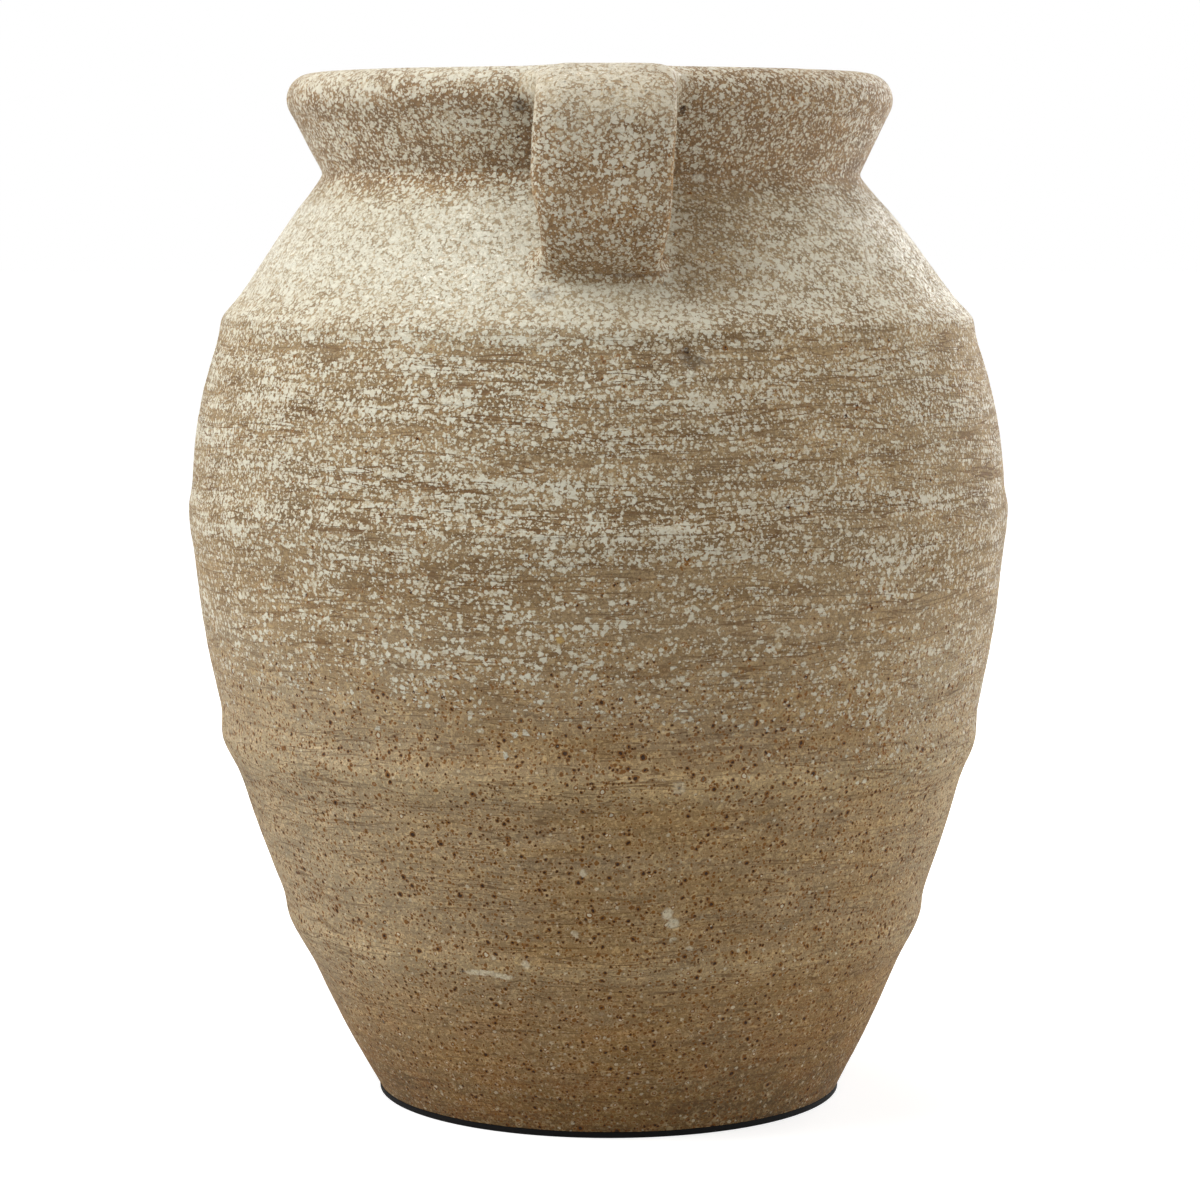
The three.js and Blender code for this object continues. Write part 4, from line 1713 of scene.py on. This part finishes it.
# %% [markdown]
# ## Press clay round both ends
# A handle that is only stuck on cracks off, so a roll of clay is pressed into the corner all round
# and stroked out on to strap and pot. At each column of the strap the corner is found on the real
# walls, and a curve is drawn from the strap to the wall through it. The width of the roll changes
# round the strap: it is broad at the sides of the lip and leaves a sharp crease under the foot.

# %% Where the strap meets the walls
luting_rows = 10
luting_sink = 0.3
luting_core = 1.4
luting_fill = 0.12
luting_lump = 0.18
luting_lump_size = (6, 6, 6)
lutings = {
    # how far it reaches: on its left, right, outer and inner side, then how much more along the strap
    "top": ((7.5, 6.5, 9.0, 7.0), 1.3),
    "foot": ((7.0, 4.5, 1.3, 3.0), 1.1),
}


def wall_finder(*names):
    """Nearest point of the finished walls to a point, and the way the wall looks there."""
    trees = [BVHTree.FromPolygons([v.co / MM for v in walls[n].data.vertices],
                                  [p.vertices[:] for p in walls[n].data.polygons]) for n in names]

    def find(point):
        found = [tree.find_nearest(Vector(point)) for tree in trees]
        place_on_wall, look, _, _ = min(found, key=lambda hit: hit[3])
        return np.array(place_on_wall), np.array(look)
    return find


def corner_on(column, find):
    """Where a line of points, from the open into the clay, meets the wall: its index and the place."""
    for index, point in enumerate(column):
        place_on_wall, look = find(point)
        if np.dot(point - place_on_wall, look) < 0:
            return index, place_on_wall, look
    return len(column) - 1, place_on_wall, look


print("lutings at", *lutings)

# %% [markdown]
# Each loop of a luting runs from the strap to the wall as a hollow curve and back through the clay.
# The loops lie side by side round the strap, and the last one meets the first.


# %% Lutings
def luting_points(columns, looks, find, reaches, along_ratio):
    """One closed loop for each column: along the skin of the luting, and back through its core."""
    left, right, outer, inner = reaches
    loops = []
    for column, look in zip(columns, looks):
        index, corner, wall_look = corner_on(column, find)
        side, out_y, out_z = look[index]
        face = math.copysign(math.hypot(out_y, out_z), out_z - out_y)
        reach = (left if side < 0 else right) * side ** 2 + (outer if face > 0 else inner) * face ** 2
        back = max(0, index - round(reach * along_ratio / strap_row))
        strap_end = column[back] - look[back] * luting_sink
        outwards = look[index] - wall_look * np.dot(look[index], wall_look)
        outwards /= np.linalg.norm(outwards)
        wall_end, end_look = find(corner + outwards * reach)
        wall_end = wall_end - end_look * luting_sink
        t = np.linspace(0, 1, luting_rows)[:, None]
        bend = corner + ((strap_end + wall_end) / 2 - corner) * luting_fill
        curve = (1 - t) ** 2 * strap_end + 2 * t * (1 - t) * bend + t * t * wall_end
        lump = [luting_lump * lumps_at(p, luting_lump_size, 5) for p in curve]
        curve += np.sin(math.pi * t) * np.array(lump)[:, None] * (wall_look + look[index])
        core = [wall_end - end_look * luting_core, corner - (wall_look + look[index]) * luting_core,
                strap_end - look[back] * luting_core]
        loops.append(np.concatenate([curve, core]))
    return np.array(loops)


def make_luting(name, node, end, columns, looks, clay, *wall_names):
    """The clay round one end of the strap, on the walls named."""
    reaches, along_ratio = lutings[end]
    loops = luting_points(columns, looks, wall_finder(*wall_names), reaches, along_ratio)
    sheet = loops.transpose(1, 0, 2)
    faces = grid_faces(sheet.shape[0], sheet.shape[1], closed_rows=True)
    mesh_piece(name, sheet.reshape(-1, 3), faces, clay, "lime_spattered_clay", node)


by_column = rings.transpose(1, 0, 2)
look_by_column = ring_looks.transpose(1, 0, 2)
half = len(rings) // 2
make_luting("handle_top_luting_pressed", "handle_top_luting", "top",
            by_column[:, half::-1], look_by_column[:, half::-1], luting_clay, "rim_section")
make_luting("handle_foot_luting_pressed", "handle_foot_luting", "foot",
            by_column[:, half:], look_by_column[:, half:], luting_clay,
            "shoulder_section", "rim_section")

# %% [markdown]
# ## Light and floor
# The photograph has one big soft light above and to the left, a paler edge on the right, and a pure
# white ground. The lamps only light the pot. The white comes from what camera rays see.

# %% Lamps
pot_middle = Vector((-3 * MM, 0, 170 * MM))
lamp_distance = 1.6
lamps = {
    # angle to the right of the camera, height in degrees, width in m, power in W
    "key_light": (-60, 45, 0.9, 14.5),
    "high_light": (-65, 68, 0.9, 6),
    "top_light": (180, 70, 0.9, 8),
    "right_light": (95, 12, 0.9, 11.5),
    "right_edge_light": (145, 12, 0.9, 11),
    "left_light": (-90, 12, 0.9, 9),
    "front_fill": (35, 28, 1.0, 6),
}


def lamp(name, place_in_room, width, power):
    """A square soft light that faces the pot."""
    data = bpy.data.lights.new(name, "AREA")
    data.shape = "RECTANGLE"
    data.size = data.size_y = width
    data.energy = power
    obj = link(bpy.data.objects.new(name, data))
    obj.location = place_in_room
    obj.rotation_euler = (pot_middle - obj.location).to_track_quat("-Z", "Y").to_euler()


def from_pot(angle, height):
    """A place at an angle to the right of the camera and a height in degrees, away from the pot."""
    turn, rise = math.radians(angle), math.radians(height)
    reach = math.cos(rise)
    direction = Vector((math.sin(turn) * reach, -math.cos(turn) * reach, math.sin(rise)))
    return pot_middle + direction * lamp_distance


for name, (angle, height, width, power) in lamps.items():
    lamp(name, from_pot(angle, height), width, power)
print(len(lamps), "lamps")

# %% [markdown]
# The room gives a little light from all sides. A ray that the camera sends, straight or by way of
# gloss or glass, meets plain white instead.

# %% Room
white = (1, 1, 1, 1)
room_light = 0.08


def seen_directly(tree):
    """1 for rays from the camera, from gloss and from glass, and 0 for the light itself."""
    rays = tree.nodes.new("ShaderNodeLightPath")
    kinds = ("Is Camera Ray", "Is Glossy Ray", "Is Transmission Ray")
    camera_ray, glossy, through = [Wire(tree, rays.outputs[kind]) for kind in kinds]
    return camera_ray.at_least(glossy).at_least(through)


world = bpy.data.worlds.new("studio")
bpy.context.scene.world = world
world.use_nodes = True
background = world.node_tree.nodes["Background"]
feed(world.node_tree, background.inputs["Color"], white)
room_strength = room_light + (1 - room_light) * seen_directly(world.node_tree)
feed(world.node_tree, background.inputs["Strength"], room_strength)
print("room light", room_light)

# %% [markdown]
# The floor is a wide plane of pale grey that also shines white to the camera, a little less near the
# pot, so that the pot's soft shadow still shows on it.

# %% Floor
floor_half = 12
floor_grey = (0.6, 0.6, 0.6, 1)
glow_near = 0.7
glow_grows = (0.1, 0.5)
floor_mesh = bpy.data.meshes.new("floor")
corners = [(x * floor_half, y * floor_half, 0) for x, y in ((-1, -1), (1, -1), (1, 1), (-1, 1))]
floor_mesh.from_pydata(corners, [], [(0, 1, 2, 3)])
floor = link(bpy.data.objects.new("floor", floor_mesh))
floor_paint = bpy.data.materials.new("floor_paint")
floor_paint.use_nodes = True
floor_tree = floor_paint.node_tree
from_middle = vector_math("LENGTH", place(floor_tree, "ShaderNodeTexCoord", output="Object"))
glow = glow_near + (1 - glow_near) * ramp(from_middle, *glow_grows)
floor_sockets = {
    "Base Color": floor_grey,
    "Roughness": 1,
    "Specular IOR Level": 0,
    "Emission Color": white,
    "Emission Strength": seen_directly(floor_tree) * glow,
}
for label, value in floor_sockets.items():
    feed(floor_tree, floor_tree.nodes["Principled BSDF"].inputs[label], value)
floor_mesh.materials.append(floor_paint)
bpy.context.scene.view_settings.view_transform = "Standard"
print("floor of", 2 * floor_half, "m")
